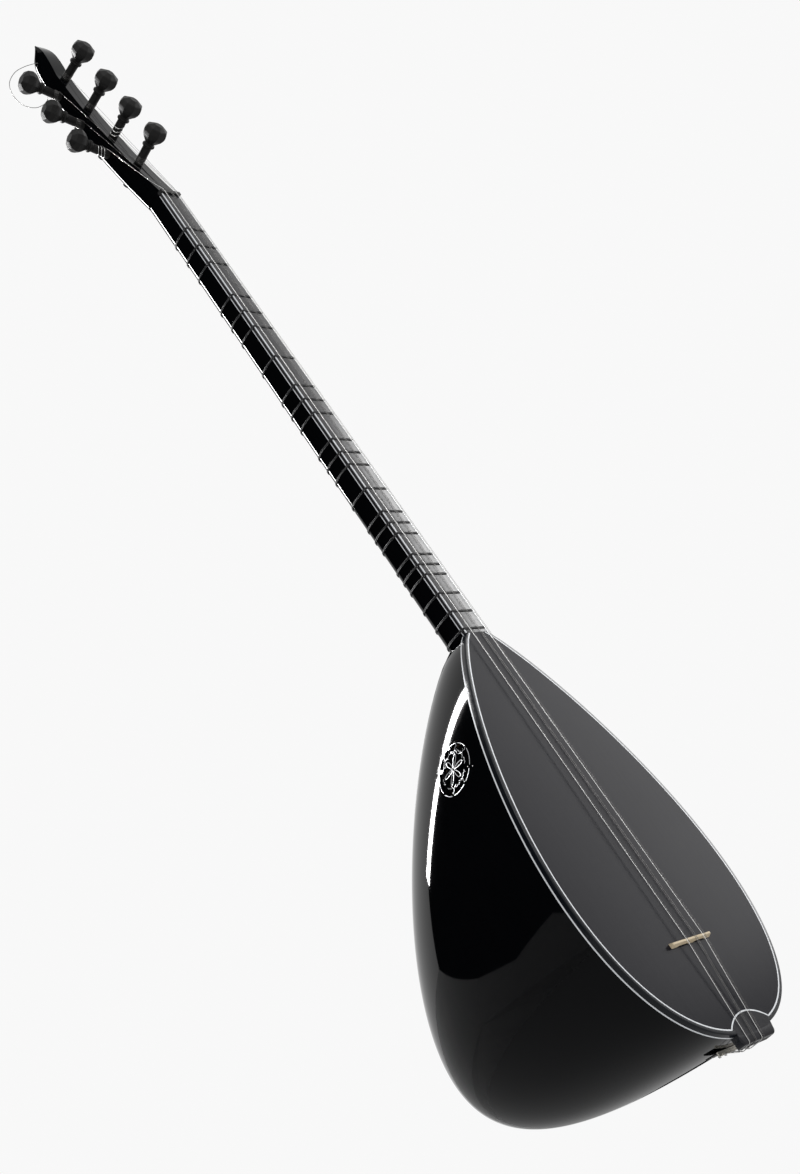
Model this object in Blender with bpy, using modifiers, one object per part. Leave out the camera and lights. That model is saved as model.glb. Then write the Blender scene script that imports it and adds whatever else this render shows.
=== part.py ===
# Long-neck saz: a deep pear-shaped bowl, a flat soundboard, a slim neck with tied frets and a raked
# headstock with seven friction pegs. Metres, +Z up the neck, the soundboard faces -Y. The pieces are built
# with the soundboard's face at Y = 0 and then moved, so that the origin is the middle of the flat tail end.
import math

import bmesh
import bpy
from mathutils import Matrix, Vector

# Clearance between pieces that touch on the real instrument
GAP = 0.0003

# Strings
SCALE_LENGTH = 0.880
BRIDGE_TO_TAIL = 0.095
STRING_RADII = (0.00024, 0.00016, 0.00019, 0.00022, 0.00024, 0.00016, 0.00014)
NUT_STRING_X = (-0.0095, -0.0080, -0.0010, 0.0010, 0.0072, 0.0086, 0.0100)
BRIDGE_STRING_X = (-0.0150, -0.0132, -0.0012, 0.0010, 0.0112, 0.0130, 0.0148)
TAIL_STRING_X = (-0.0186, -0.0168, -0.0090, -0.0072, 0.0022, 0.0042, 0.0062)

# Body
BOWL_LENGTH = 0.412
BOWL_WIDTH = 0.2535
BOWL_DEPTH = 0.2615
OUTLINE_RISE, OUTLINE_FALL = 0.84, 0.44
DEPTH_RISE, DEPTH_FALL = 0.88, 0.29
TAIL_LEAN = 0.10
WALL = 0.0040
RIM_WIDTH = 0.0090
SOUNDBOARD_THICKNESS = 0.0032
BINDING_WIDTH = 0.0033
BINDING_HEIGHT = 0.0048
LINE_WIDTH = 0.0011
LINE_THICKNESS = 0.0012
SIDE_LINE_HEIGHT = 0.0010

# Rosette, carved into the left side of the bowl
ROSETTE_FROM_NECK = 0.107
ROSETTE_ANGLE = math.radians(14)
ROSETTE_HOLE_RADIUS = 0.0250
ROSETTE_THICKNESS = 0.0026

# Tail
MOON_WIDTH = 0.0570
MOON_RISE = 0.0095
MOON_CHORD_Z = 0.0155
BLOCK_WIDTH = 0.0560
BLOCK_DEPTH = 0.0160
BLOCK_OVERHANG = 0.0080
BLOCK_CORNER = 0.0050
BLOCK_EDGE_ROUND = 0.0024
BLOCK_SIDE_DEPTH = 0.0078
BLOCK_BACK_WIDTH = 0.0260
ANCHOR_WIDTH = 0.0340
ANCHOR_X = -0.0065
ANCHOR_Y = 0.0270
ANCHOR_LIP = 0.0062
ANCHOR_PLATE = 0.0012
ANCHOR_HEIGHT = 0.0130
ANCHOR_SLOT = 0.0014

# Neck
NECK_WIDTH_AT_BODY = 0.0310
NECK_WIDTH_AT_NUT = 0.0240
NECK_DEPTH_AT_BODY = 0.0320
NECK_DEPTH_AT_NUT = 0.0275
NECK_SQUARENESS = 2.5
FINGERBOARD_THICKNESS = 0.0040
NUT_THICKNESS = 0.0036
NUT_HEIGHT = 0.0022
NUT_OVERHANG = 0.0010
NECK_BLOCK_LENGTH = 0.050

# Frets: cents above the open string, equal-tempered with the instrument's quarter tones
FRET_CENTS = (100, 150, 200, 300, 350, 400, 500, 600, 650, 700, 800, 850, 900, 1000, 1100, 1150, 1200, 1300,
              1350, 1400, 1500, 1600, 1700)
FRET_LINE = 0.0007
FRET_TURNS = 3
FRET_KNOT = 0.0011

# Bridge
BRIDGE_LENGTH = 0.0600
BRIDGE_X = -0.0060
BRIDGE_HEIGHT = 0.0044
BRIDGE_THICKNESS = 0.0046
BRIDGE_TIP_HEIGHT = 0.0034
BRIDGE_TIP_LENGTH = 0.0018
BRIDGE_FOOT = 0.0080
BRIDGE_ARCH = 0.0013

# Headstock
HEAD_RAKE = 0.20
HEAD_CURVE = 0.40
HEAD_FLAT = 0.200
HEAD_LENGTH = 0.2535
HEAD_WIDTH_AT_TOP = 0.0190
HEAD_DEPTH_AT_NUT = 0.0262
HEAD_DEPTH_AT_TOP = 0.0228
HEAD_SQUARENESS = 2.8

# Pegs: the distance of each peg's hole above the nut
FRONT_PEGS = (0.0550, 0.1010, 0.1480, 0.1960)
SIDE_PEGS = (0.0850, 0.1340, 0.1810)
SIDE_PEG_DEPTH = 0.0128
SIDE_PEG_LIFT = math.radians(20)
PEG_RADIUS = 0.0044
PEG_TAPER = 0.030
PEG_SHOULDER = 0.0200
PEG_HEAD_LENGTH = 0.0245
PEG_HEAD_RADIUS = 0.0124
PEG_TAIL = 0.0020
WINDING_START = 0.0050
WINDING_PITCH = 0.0045
WINDING_TURNS = 3
WINDING_RADIUS = 0.00018
WINDING_STEPS = 10
WINDING_CLEARANCE = 0.0000699656

# What follows from the sizes above
BRIDGE_Z = BRIDGE_TO_TAIL
NUT_Z = BRIDGE_Z + SCALE_LENGTH
BOWL_END_Z = BLOCK_OVERHANG
JOINT_Z = BOWL_END_Z + BOWL_LENGTH
ROSETTE_HEIGHT = JOINT_Z - ROSETTE_FROM_NECK
NECK_TOP_Z = NUT_Z + NUT_THICKNESS + 2 * GAP
LEDGE_Y = SOUNDBOARD_THICKNESS + GAP
SIDE_LINE_Y = BINDING_HEIGHT + GAP
BOWL_RIM_Y = SIDE_LINE_Y + SIDE_LINE_HEIGHT + GAP
REBATE = BINDING_WIDTH + GAP
LINE_INSET = BINDING_WIDTH + GAP
BOARD_INSET = LINE_INSET + LINE_WIDTH + GAP
NECK_Y = FINGERBOARD_THICKNESS + GAP
MOON_RADIUS = ((MOON_WIDTH / 2) ** 2 + MOON_RISE ** 2) / (2 * MOON_RISE)
MOON_CENTRE_Z = MOON_CHORD_Z - (MOON_RADIUS - MOON_RISE)
FRET_WIDTH = FRET_TURNS * FRET_LINE
FACE_Y = -(BLOCK_EDGE_ROUND + BLOCK_DEPTH) / 2
FRET_Z = [BRIDGE_Z + SCALE_LENGTH * 2 ** (-cents / 1200) for cents in FRET_CENTS]

BLACK_LACQUER = ((0.006, 0.006, 0.007, 1), 0.12, 0.0)
BLACK_SATIN = ((0.020, 0.020, 0.022, 1), 0.45, 0.0)
CHARCOAL = ((0.060, 0.060, 0.068, 1), 0.40, 0.0)
WHITE_LINE = ((0.72, 0.73, 0.74, 1), 0.35, 0.0)
PALE_WOOD = ((0.50, 0.37, 0.22, 1), 0.60, 0.0)
STEEL = ((0.62, 0.62, 0.63, 1), 0.25, 1.0)
NYLON = ((0.030, 0.030, 0.032, 1), 0.50, 0.0)
INNER_WOOD = ((0.42, 0.28, 0.15, 1), 0.70, 0.0)


def clear_scene():
    for item in list(bpy.data.objects):
        bpy.data.objects.remove(item, do_unlink=True)


def new_collection(name):
    collection = bpy.data.collections.new(name)
    bpy.context.scene.collection.children.link(collection)
    return collection


clear_scene()
SAZ = new_collection("long_neck_saz")
CUTTERS = new_collection("cutters")


def finish_material(name, look):
    colour, roughness, metallic = look
    material = bpy.data.materials.new(name)
    material.use_nodes = True
    shader = material.node_tree.nodes["Principled BSDF"]
    shader.inputs["Base Color"].default_value = colour
    shader.inputs["Roughness"].default_value = roughness
    shader.inputs["Metallic"].default_value = metallic
    return material


def set_origin(item, place):
    # Puts an object's origin at a place without moving its shape
    item.data.transform(Matrix.Translation(-Vector(place)))
    item.matrix_world = Matrix.Translation(place)


def add_object(name, data, look=None, collection=SAZ):
    item = bpy.data.objects.new(name, data)
    collection.objects.link(item)
    if look:
        item.data.materials.clear()
        item.data.materials.append(finish_material(name, look))
    return item


def mesh_from(build, name):
    shape = bmesh.new()
    build(shape)
    bmesh.ops.recalc_face_normals(shape, faces=shape.faces)
    mesh = bpy.data.meshes.new(name)
    shape.to_mesh(mesh)
    shape.free()
    return mesh


def smooth(item, degrees=35):
    item.data.shade_smooth()
    item.data.set_sharp_from_angle(angle=math.radians(degrees))


def cutter(name, mesh, matrix=Matrix()):
    item = add_object(name, mesh, collection=CUTTERS)
    item.matrix_world = matrix
    item.hide_render = True
    item.display_type = "WIRE"
    return item


def boolean(item, other, operation="DIFFERENCE"):
    step = item.modifiers.new(operation.lower() + "_" + other.name, "BOOLEAN")
    step.operation = operation
    step.solver = "EXACT"
    step.object = other


def to_mesh(item):
    # Bakes the modifiers, or a curve's shape, into a plain welded mesh
    graph = bpy.context.evaluated_depsgraph_get()
    mesh = bpy.data.meshes.new_from_object(item.evaluated_get(graph))
    shape = bmesh.new()
    shape.from_mesh(mesh)
    bmesh.ops.remove_doubles(shape, verts=shape.verts, dist=0.00001)
    shape.to_mesh(mesh)
    shape.free()
    return mesh


def curve_to_object(name, curve_item, look):
    mesh = to_mesh(curve_item)
    mesh.transform(curve_item.matrix_world)
    bpy.data.objects.remove(curve_item, do_unlink=True)
    return add_object(name, mesh, look)


def loft(shape, rings, cap_start=True, cap_end=True):
    # Joins closed rings of equal counts with quads, and caps the two end rings
    rows = [[shape.verts.new(point) for point in ring] for ring in rings]
    count = len(rows[0])
    for low, high in zip(rows, rows[1:]):
        for i in range(count):
            j = (i + 1) % count
            shape.faces.new((low[i], low[j], high[j], high[i]))
    if cap_start:
        shape.faces.new(rows[0])
    if cap_end:
        shape.faces.new(rows[-1])
    return rows


def flat_plate(name, outline, front_y, back_y, look):
    # A flat outline in the X-Z plane, given as (x, z), between two depths
    curve = bpy.data.curves.new(name, "CURVE")
    curve.dimensions = "2D"
    curve.fill_mode = "BOTH"
    curve.extrude = abs(back_y - front_y) / 2
    spline = curve.splines.new("POLY")
    spline.points.add(len(outline) - 1)
    for point, (x, z) in zip(spline.points, outline):
        point.co = (x, z, 0, 1)
    spline.use_cyclic_u = True
    item = add_object(name + "_outline", curve)
    item.matrix_world = Matrix.Translation((0, (front_y + back_y) / 2, 0)) @ Matrix.Rotation(math.pi / 2, 4, "X")
    bpy.context.view_layer.update()
    return curve_to_object(name, item, look)


def wire(name, points, radius, look, sides=2):
    curve = bpy.data.curves.new(name, "CURVE")
    curve.dimensions = "3D"
    curve.bevel_depth = radius
    curve.bevel_resolution = sides
    curve.use_fill_caps = True
    spline = curve.splines.new("POLY")
    spline.points.add(len(points) - 1)
    for point, place in zip(spline.points, points):
        point.co = (*place, 1)
    item = add_object(name + "_path", curve)
    bpy.context.view_layer.update()
    return curve_to_object(name, item, look)


# Body shape

def swell(u, rise, fall):
    # 0 at both ends and 1 at its fullest place
    peak = rise / (rise + fall)
    return (u / peak) ** rise * ((1 - u) / (1 - peak)) ** fall


def with_neck(u, neck, full, rise, fall):
    # A swelling curve that starts from the neck's own size and is just as large as stated at its fullest
    peak = rise / (rise + fall)
    return neck * (1 - u) ** 2 + (full - neck * (1 - peak) ** 2) * swell(u, rise, fall)


def bowl_half_width(u):
    return with_neck(u, NECK_WIDTH_AT_BODY / 2, BOWL_WIDTH / 2, OUTLINE_RISE, OUTLINE_FALL)


def bowl_depth(u):
    return with_neck(u, NECK_DEPTH_AT_BODY, BOWL_DEPTH, DEPTH_RISE, DEPTH_FALL)


def along(v):
    # Even steps of v crowd towards the round tail; u runs from the neck joint (0) to the tail (1)
    return 1 - (1 - v) ** 2.3


def edge_point(v, inset=0.0):
    # A point (x, z) of the body's right edge, moved inwards. At the neck it moves straight across.
    step = 0.004
    low, high = max(v - step, 0.0), min(v + step, 1.0)
    ahead = Vector((bowl_half_width(along(high)) - bowl_half_width(along(low)),
                    -BOWL_LENGTH * (along(high) - along(low))))
    inward = Vector((ahead.y, -ahead.x)).normalized()
    turn = min(1.0, along(v) / 0.08)
    inward = (Vector((-1, 0)) * (1 - turn) + inward * turn).normalized()
    if v >= 1:
        inward = Vector((0, 1))
    return Vector((bowl_half_width(along(v)), JOINT_Z - BOWL_LENGTH * along(v))) + inward * inset


def lean(y, v):
    return TAIL_LEAN * max(y - BOWL_RIM_Y, 0) * along(v) ** 4


def half_ring(v, inset, top_y, depth, steps):
    # The points of one cross-section below the rim, from the right edge round to the left edge
    edge = edge_point(v, inset)
    points = []
    for i in range(steps + 1):
        angle = math.pi * i / steps
        y = top_y + depth * math.sin(angle)
        points.append(Vector((edge.x * math.cos(angle), y, edge.y + lean(y, v))))
    return points


EDGE_STEPS = 34
BOWL_STEPS = 22


def bowl_mesh(shape):
    loops = []
    for i in range(EDGE_STEPS):
        v = i / EDGE_STEPS
        outer = half_ring(v, 0, BOWL_RIM_Y, bowl_depth(along(v)), BOWL_STEPS)
        inner = half_ring(v, RIM_WIDTH, LEDGE_Y, bowl_depth(along(v)) - WALL + BOWL_RIM_Y - LEDGE_Y, BOWL_STEPS)
        step = edge_point(v, REBATE)
        left = [Vector((-step.x, BOWL_RIM_Y, step.y)), Vector((-step.x, LEDGE_Y, step.y))]
        right = [Vector((step.x, LEDGE_Y, step.y)), Vector((step.x, BOWL_RIM_Y, step.y))]
        loops.append(outer + left + inner[::-1] + right)
    rows = loft(shape, loops, cap_end=False)
    last, n = rows[-1], BOWL_STEPS + 1
    shape.faces.new(last[:n])
    shape.faces.new(last[n + 2:2 * n + 2])
    edges = (last[0], last[n - 1], last[n], last[n + 1], last[n + 2], last[2 * n + 1], last[2 * n + 2],
             last[2 * n + 3])
    shape.faces.new((edges[0], edges[1], edges[2], edges[7]))
    shape.faces.new((edges[7], edges[2], edges[3], edges[6]))
    shape.faces.new((edges[6], edges[3], edges[4], edges[5]))


def on_bowl(point):
    # Negative inside the bowl's outer surface and positive outside it
    u = (JOINT_Z - point.z) / BOWL_LENGTH
    for _ in range(4):
        u = (JOINT_Z - point.z + TAIL_LEAN * max(point.y - BOWL_RIM_Y, 0) * u ** 4) / BOWL_LENGTH
    u = min(max(u, 1e-6), 1 - 1e-6)
    return (point.x / bowl_half_width(u)) ** 2 + ((point.y - BOWL_RIM_Y) / bowl_depth(u)) ** 2 - 1


def rosette_frame():
    # The centre of the rosette on the bowl's left side, with X and Y across it and Z pointing out
    u = (JOINT_Z - ROSETTE_HEIGHT) / BOWL_LENGTH
    centre = Vector((-bowl_half_width(u) * math.cos(ROSETTE_ANGLE),
                     BOWL_RIM_Y + bowl_depth(u) * math.sin(ROSETTE_ANGLE), ROSETTE_HEIGHT))
    step = 0.0005
    out = Vector([on_bowl(centre + d * step) - on_bowl(centre - d * step)
                  for d in (Vector((1, 0, 0)), Vector((0, 1, 0)), Vector((0, 0, 1)))]).normalized()
    up = (Vector((0, 0, 1)) - out * out.z).normalized()
    across = up.cross(out)
    frame = Matrix((across, up, out)).transposed().to_4x4()
    frame.translation = centre
    return frame


def surface_height(frame, x, y):
    # How far the bowl's surface lies from the rosette's plane, above the point (x, y) of that plane
    out = frame.col[2].to_3d()
    base = frame @ Vector((x, y, 0))
    low, high = -0.02, 0.01
    for _ in range(30):
        middle = (low + high) / 2
        if on_bowl(base + out * middle) > 0:
            high = middle
        else:
            low = middle
    return (low + high) / 2


def rosette_openings():
    # Six petals, six darts between them and a ring of arcs outside, all pierced
    openings = []
    for k in range(6):
        turn = math.pi / 3 * k
        petal = []
        for i in range(12):
            t = 2 * math.pi * i / 12
            radial = 0.0092 + 0.0058 * math.cos(t)
            aside = 0.0027 * math.sin(t) * (1 + 0.35 * math.cos(t))
            petal.append((radial, aside, turn))
        openings.append(petal)
        dart = []
        for i in range(9):
            t = 2 * math.pi * i / 9
            radial = 0.0128 + 0.0030 * math.cos(t)
            aside = 0.0026 * math.sin(t) * (1 + 0.5 * math.cos(t))
            dart.append((radial, aside, turn + math.pi / 6))
        openings.append(dart)
    for k in range(12):
        turn, half = math.pi / 6 * k, math.radians(12.2)
        arc = [(0.0220, half * s, turn) for s in (-1, -0.35, 0.35, 1)]
        arc += [(0.0183, half * s, turn) for s in (0.9, 0, -0.9)]
        openings.append([(radius * math.cos(a), radius * math.sin(a), turn) for radius, a, turn in arc])
    placed = []
    for opening in openings:
        placed.append([(r * math.cos(t) - a * math.sin(t), r * math.sin(t) + a * math.cos(t))
                       for r, a, t in opening])
    return placed


def make_rosette(frame):
    radius = ROSETTE_HOLE_RADIUS - GAP
    sides = 48
    curve = bpy.data.curves.new("rosette", "CURVE")
    curve.dimensions = "2D"
    curve.fill_mode = "BOTH"
    curve.extrude = ROSETTE_THICKNESS / 2
    rim = [(radius * math.cos(2 * math.pi * i / sides), radius * math.sin(2 * math.pi * i / sides))
           for i in range(sides)]
    for outline in [rim] + rosette_openings():
        spline = curve.splines.new("POLY")
        spline.points.add(len(outline) - 1)
        for point, (x, y) in zip(spline.points, outline):
            point.co = (x, y, 0, 1)
        spline.use_cyclic_u = True
    item = add_object("rosette_outline", curve)
    bpy.context.view_layer.update()
    mesh = to_mesh(item)
    bpy.data.objects.remove(item, do_unlink=True)
    for vertex in mesh.vertices:
        x, y, z = vertex.co
        sunk = surface_height(frame, x, y) - ROSETTE_THICKNESS / 2
        vertex.co = frame @ Vector((x, y, z + sunk))
    return add_object("rosette", mesh, BLACK_LACQUER)


def make_bowl(frame):
    bowl = add_object("bowl", mesh_from(bowl_mesh, "bowl"), BLACK_LACQUER)
    reach = 0.05

    def drill(shape):
        bmesh.ops.create_cone(shape, cap_ends=True, segments=48, radius1=ROSETTE_HOLE_RADIUS,
                              radius2=ROSETTE_HOLE_RADIUS, depth=reach)

    boolean(bowl, cutter("sound_hole", mesh_from(drill, "sound_hole"), frame))
    smooth(bowl)
    return bowl


# The soundboard and what edges it

MOON_STEPS = 14


def edge_side(inset):
    # The right edge from the neck joint to the tail's middle, in the same steps as the bowl's rings
    return [edge_point(i / EDGE_STEPS, inset) for i in range(EDGE_STEPS + 1)]


def split_side(side, inside):
    # Cuts the edge where it first leaves the region, and returns the part before it and the part after it
    for k, (a, b) in enumerate(zip(side, side[1:])):
        if inside(a) and not inside(b):
            low, high = 0.0, 1.0
            for _ in range(40):
                middle = (low + high) / 2
                if inside(a.lerp(b, middle)):
                    low = middle
                else:
                    high = middle
            cut = a.lerp(b, low)
            return side[:k + 1] + [cut], [cut] + side[k + 1:]


def mirrored(points):
    return [Vector((-point.x, point.y)) for point in reversed(points)]


def moon_arc(start, radius):
    # The half-moon's arc from a point of the right edge over to the left edge, without its end points
    angle = math.atan2(start.y - MOON_CENTRE_Z, start.x)
    turns = [angle + (math.pi - 2 * angle) * i / MOON_STEPS for i in range(1, MOON_STEPS)]
    return [Vector((radius * math.cos(turn), MOON_CENTRE_Z + radius * math.sin(turn))) for turn in turns]


def face_outline(inset, radius):
    # The soundboard's outline moved inwards, cut by the half-moon's circle at the tail
    moon = Vector((0, MOON_CENTRE_Z))
    side, _ = split_side(edge_side(inset), lambda p: (p - moon).length > radius)
    return [tuple(point) for point in side + moon_arc(side[-1], radius) + mirrored(side)]


def rim_outline(inset):
    side = edge_side(inset)
    return [tuple(point) for point in side + mirrored(side[:-1])]


def make_face():
    board = face_outline(BOARD_INSET, MOON_RADIUS + LINE_WIDTH + 2 * GAP)
    flat_plate("soundboard", board, 0, SOUNDBOARD_THICKNESS, CHARCOAL)
    line = face_outline(LINE_INSET, MOON_RADIUS + GAP)
    line_inner = face_outline(LINE_INSET + LINE_WIDTH, MOON_RADIUS + LINE_WIDTH + GAP)
    flat_plate("face_line", line + line_inner[::-1], 0, LINE_THICKNESS, WHITE_LINE)
    flat_plate("binding", rim_outline(0) + rim_outline(BINDING_WIDTH)[::-1], 0, BINDING_HEIGHT, BLACK_SATIN)
    side = rim_outline(0) + rim_outline(BINDING_WIDTH)[::-1]
    flat_plate("side_line", side, SIDE_LINE_Y, SIDE_LINE_Y + SIDE_LINE_HEIGHT, WHITE_LINE)


def make_half_moon():
    # Fills the segment between the half-moon's arc and the binding
    moon = Vector((0, MOON_CENTRE_Z))
    _, end = split_side(edge_side(LINE_INSET), lambda p: (p - moon).length > MOON_RADIUS)
    arc = moon_arc(end[0], MOON_RADIUS)[::-1]
    outline = [tuple(point) for point in end + mirrored(end[:-1]) + arc]
    flat_plate("half_moon", outline, 0, SOUNDBOARD_THICKNESS, CHARCOAL)


def make_tail_block():
    # Its lower corners are rounded, and so is the edge that the strings bend over
    half = BLOCK_WIDTH / 2
    over = 0.001
    _, end = split_side(edge_side(-GAP), lambda p: p.x > half)
    corners = []
    for side in (-1, 1):
        for i in range(6):
            angle = math.pi / 8 * (i if side < 0 else 5 - i)
            corners.append((side * (half - BLOCK_CORNER + BLOCK_CORNER * max(math.cos(angle), -0.1)),
                            BLOCK_CORNER - BLOCK_CORNER * math.sin(min(angle, math.pi / 2))
                            - (over if angle > math.pi / 2 + 0.01 else 0)))
    outline = [tuple(point) for point in end + mirrored(end[:-1])] + corners
    block = flat_plate("tail_block", outline, -over, BLOCK_DEPTH + over, BLACK_SATIN)

    def profile(shape):
        edge = BLOCK_EDGE_ROUND
        turns = [math.pi / 8 * i for i in range(5)]
        points = [(edge - edge * math.sin(turn), edge - edge * math.cos(turn)) for turn in turns]
        points += [(0, 0.03), (BLOCK_DEPTH, 0.03), (BLOCK_DEPTH, 0)]
        loft(shape, [[(x, y, z) for y, z in points] for x in (-half - over, half + over)])

    def corner(side):
        # Its back corners are cut away, so that its sides are thin
        def wedge(shape):
            outer = side * (half + 0.01)
            slope = (BLOCK_DEPTH - BLOCK_SIDE_DEPTH) / (half - BLOCK_BACK_WIDTH / 2)
            plan = [(side * BLOCK_BACK_WIDTH / 2, BLOCK_DEPTH), (side * half, BLOCK_SIDE_DEPTH),
                    (outer, BLOCK_SIDE_DEPTH - slope * 0.01), (outer, 0.03),
                    (side * (BLOCK_BACK_WIDTH / 2 - 0.005), 0.03),
                    (side * (BLOCK_BACK_WIDTH / 2 - 0.005), BLOCK_DEPTH + slope * 0.005)]
            loft(shape, [[(x, y, z) for x, y in plan] for z in (-0.01, 0.03)])
        return wedge

    boolean(block, cutter("tail_round", mesh_from(profile, "tail_round")), "INTERSECT")
    for side, name in ((-1, "tail_corner_left"), (1, "tail_corner_right")):
        boolean(block, cutter(name, mesh_from(corner(side), name)))
    smooth(block)


def tail_wall_z(y):
    return BOWL_END_Z + TAIL_LEAN * (y - BOWL_RIM_Y)


def make_string_anchor():
    # A slotted metal angle on the tail wall of the bowl; each string's end hooks in a slot
    half = ANCHOR_WIDTH / 2
    top = tail_wall_z(ANCHOR_Y) - GAP
    lip = top - ANCHOR_LIP
    slot = ANCHOR_SLOT / 2
    slot_top = top - ANCHOR_PLATE - 0.0012
    back_y = ANCHOR_Y + ANCHOR_PLATE
    left, right = ANCHOR_X - half, ANCHOR_X + half
    outline = [(left, top), (left, top - ANCHOR_PLATE), (left, lip)]
    for x in TAIL_STRING_X:
        outline += [(x - slot, lip), (x - slot, slot_top), (x + slot, slot_top), (x + slot, lip)]
    outline += [(right, lip), (right, top - ANCHOR_PLATE), (right, top)]

    def angle(shape):
        front = [shape.verts.new((x, ANCHOR_Y, z)) for x, z in outline]
        back = [shape.verts.new((x, back_y, z)) for x, z in outline]
        far_y = ANCHOR_Y + ANCHOR_HEIGHT
        far_z = tail_wall_z(far_y) - GAP
        high = [shape.verts.new((x, far_y, far_z)) for x in (left, right)]
        low = [shape.verts.new((x, far_y, far_z - ANCHOR_PLATE)) for x in (left, right)]
        shape.faces.new(front)
        shape.faces.new(back[1:-1])
        for i in range(len(outline) - 1):
            shape.faces.new((front[i], front[i + 1], back[i + 1], back[i]))
        shape.faces.new((front[0], back[0], back[-1], front[-1]))
        shape.faces.new((back[0], high[0], high[1], back[-1]))
        shape.faces.new((back[1], low[0], low[1], back[-2]))
        shape.faces.new((high[0], high[1], low[1], low[0]))
        shape.faces.new((back[0], back[1], low[0], high[0]))
        shape.faces.new((back[-1], back[-2], low[1], high[1]))

    add_object("string_anchor", mesh_from(angle, "string_anchor"), STEEL)


# Neck

def neck_share(z):
    return (z - JOINT_Z) / (NUT_Z - JOINT_Z)


def neck_half_width(z):
    return (NECK_WIDTH_AT_BODY + (NECK_WIDTH_AT_NUT - NECK_WIDTH_AT_BODY) * neck_share(z)) / 2


def neck_depth(z):
    return NECK_DEPTH_AT_BODY + (NECK_DEPTH_AT_NUT - NECK_DEPTH_AT_BODY) * neck_share(z)


def rounded_back(half, top_y, depth, squareness, steps, out=0.0):
    # From the right side round the back to the left side, as (x, y); out moves every point outwards
    points = []
    for i in range(steps + 1):
        angle = math.pi * i / steps
        c, s = math.cos(angle), math.sin(angle)
        x = math.copysign(abs(c) ** (2 / squareness), c)
        y = max(s, 0.0) ** (2 / squareness)
        points.append(((half + out) * x, top_y + (depth + out) * y))
    return points


def make_neck():
    def neck_rings(shape):
        rings = []
        for z in (JOINT_Z + GAP, NECK_TOP_Z - GAP):
            back = rounded_back(neck_half_width(z), NECK_Y, neck_depth(z) - NECK_Y, NECK_SQUARENESS, 20)
            rings.append([(x, y, z) for x, y in back])
        loft(shape, rings)

    neck = add_object("neck", mesh_from(neck_rings, "neck"), BLACK_LACQUER)
    smooth(neck)
    low, high = JOINT_Z + GAP, NUT_Z - GAP
    outline = [(-neck_half_width(low), low), (neck_half_width(low), low), (neck_half_width(high), high),
               (-neck_half_width(high), high)]
    flat_plate("fingerboard", outline, 0, FINGERBOARD_THICKNESS, BLACK_SATIN)


def make_neck_block():
    # The block inside the bowl that the neck is glued to
    def block_rings(shape):
        rings = []
        for i in range(EDGE_STEPS):
            v = i / EDGE_STEPS
            depth = bowl_depth(along(v)) - WALL + BOWL_RIM_Y - LEDGE_Y - 3 * GAP
            rings.append(half_ring(v, RIM_WIDTH + 2 * GAP, LEDGE_Y + GAP, depth, BOWL_STEPS))
            if along(v) > NECK_BLOCK_LENGTH / BOWL_LENGTH:
                break
        loft(shape, rings)

    block = add_object("neck_block", mesh_from(block_rings, "neck_block"), INNER_WOOD)
    smooth(block)


def make_nut():
    def blank(shape):
        bmesh.ops.create_cube(shape, size=1)
        width = 2 * (neck_half_width(NUT_Z) + NUT_OVERHANG)
        height = NUT_HEIGHT + FINGERBOARD_THICKNESS
        bmesh.ops.scale(shape, verts=shape.verts, vec=(width, height, NUT_THICKNESS))
        middle = (FINGERBOARD_THICKNESS - NUT_HEIGHT) / 2
        bmesh.ops.translate(shape, verts=shape.verts, vec=(0, middle, NUT_Z + NUT_THICKNESS / 2))

    nut = add_object("nut", mesh_from(blank, "nut"), BLACK_SATIN)
    for i, (x, radius) in enumerate(zip(NUT_STRING_X, STRING_RADII)):
        cut_string_notch(nut, i, x, -NUT_HEIGHT, NUT_Z + NUT_THICKNESS / 2, radius)


def cut_string_notch(item, index, x, y, z, radius):
    def notch(shape):
        bmesh.ops.create_cone(shape, cap_ends=True, segments=8, radius1=radius + GAP, radius2=radius + GAP,
                              depth=0.02)

    name = "%s_notch_%d" % (item.name, index + 1)
    boolean(item, cutter(name, mesh_from(notch, name), Matrix.Translation((x, y, z))))


def make_fret(index, z):
    # Turns of line tied round the neck, side by side, with a knot on the upper left side
    half, depth = neck_half_width(z), neck_depth(z) - NECK_Y

    def path(out):
        back = rounded_back(half, NECK_Y, depth, NECK_SQUARENESS, 12, out)
        knot_y = NECK_Y / 2
        return [(half + out, -out)] + back + [(-half - out, knot_y), (-half - out, -out)]

    def turns(shape):
        profile = [(GAP, -FRET_WIDTH / 2), (GAP, FRET_WIDTH / 2)]
        for k in range(FRET_TURNS):
            middle = FRET_WIDTH / 2 - FRET_LINE * (k + 0.5)
            profile.append((GAP + FRET_LINE, middle))
            if k < FRET_TURNS - 1:
                profile.append((GAP + FRET_LINE * 0.5, middle - FRET_LINE / 2))
        loops = [[(x, y, z + rise) for x, y in path(out)] for out, rise in profile]
        count = len(loops[0])
        for i in range(count - 2, count - 1):
            for k in range(2, len(loops)):
                x, y, height = loops[k][i]
                loops[k][i] = (x - FRET_KNOT, y, height)
        rings = [[loop[i] for loop in loops] for i in range(count)]
        rows = [[shape.verts.new(point) for point in ring] for ring in rings]
        for i in range(count):
            low, high = rows[i], rows[(i + 1) % count]
            for k in range(len(low)):
                j = (k + 1) % len(low)
                shape.faces.new((low[k], low[j], high[j], high[k]))

    name = "fret_%02d" % (index + 1)
    fret = add_object(name, mesh_from(turns, name), NYLON)
    smooth(fret, 50)
    set_origin(fret, (0, 0, z))


# Bridge

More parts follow.
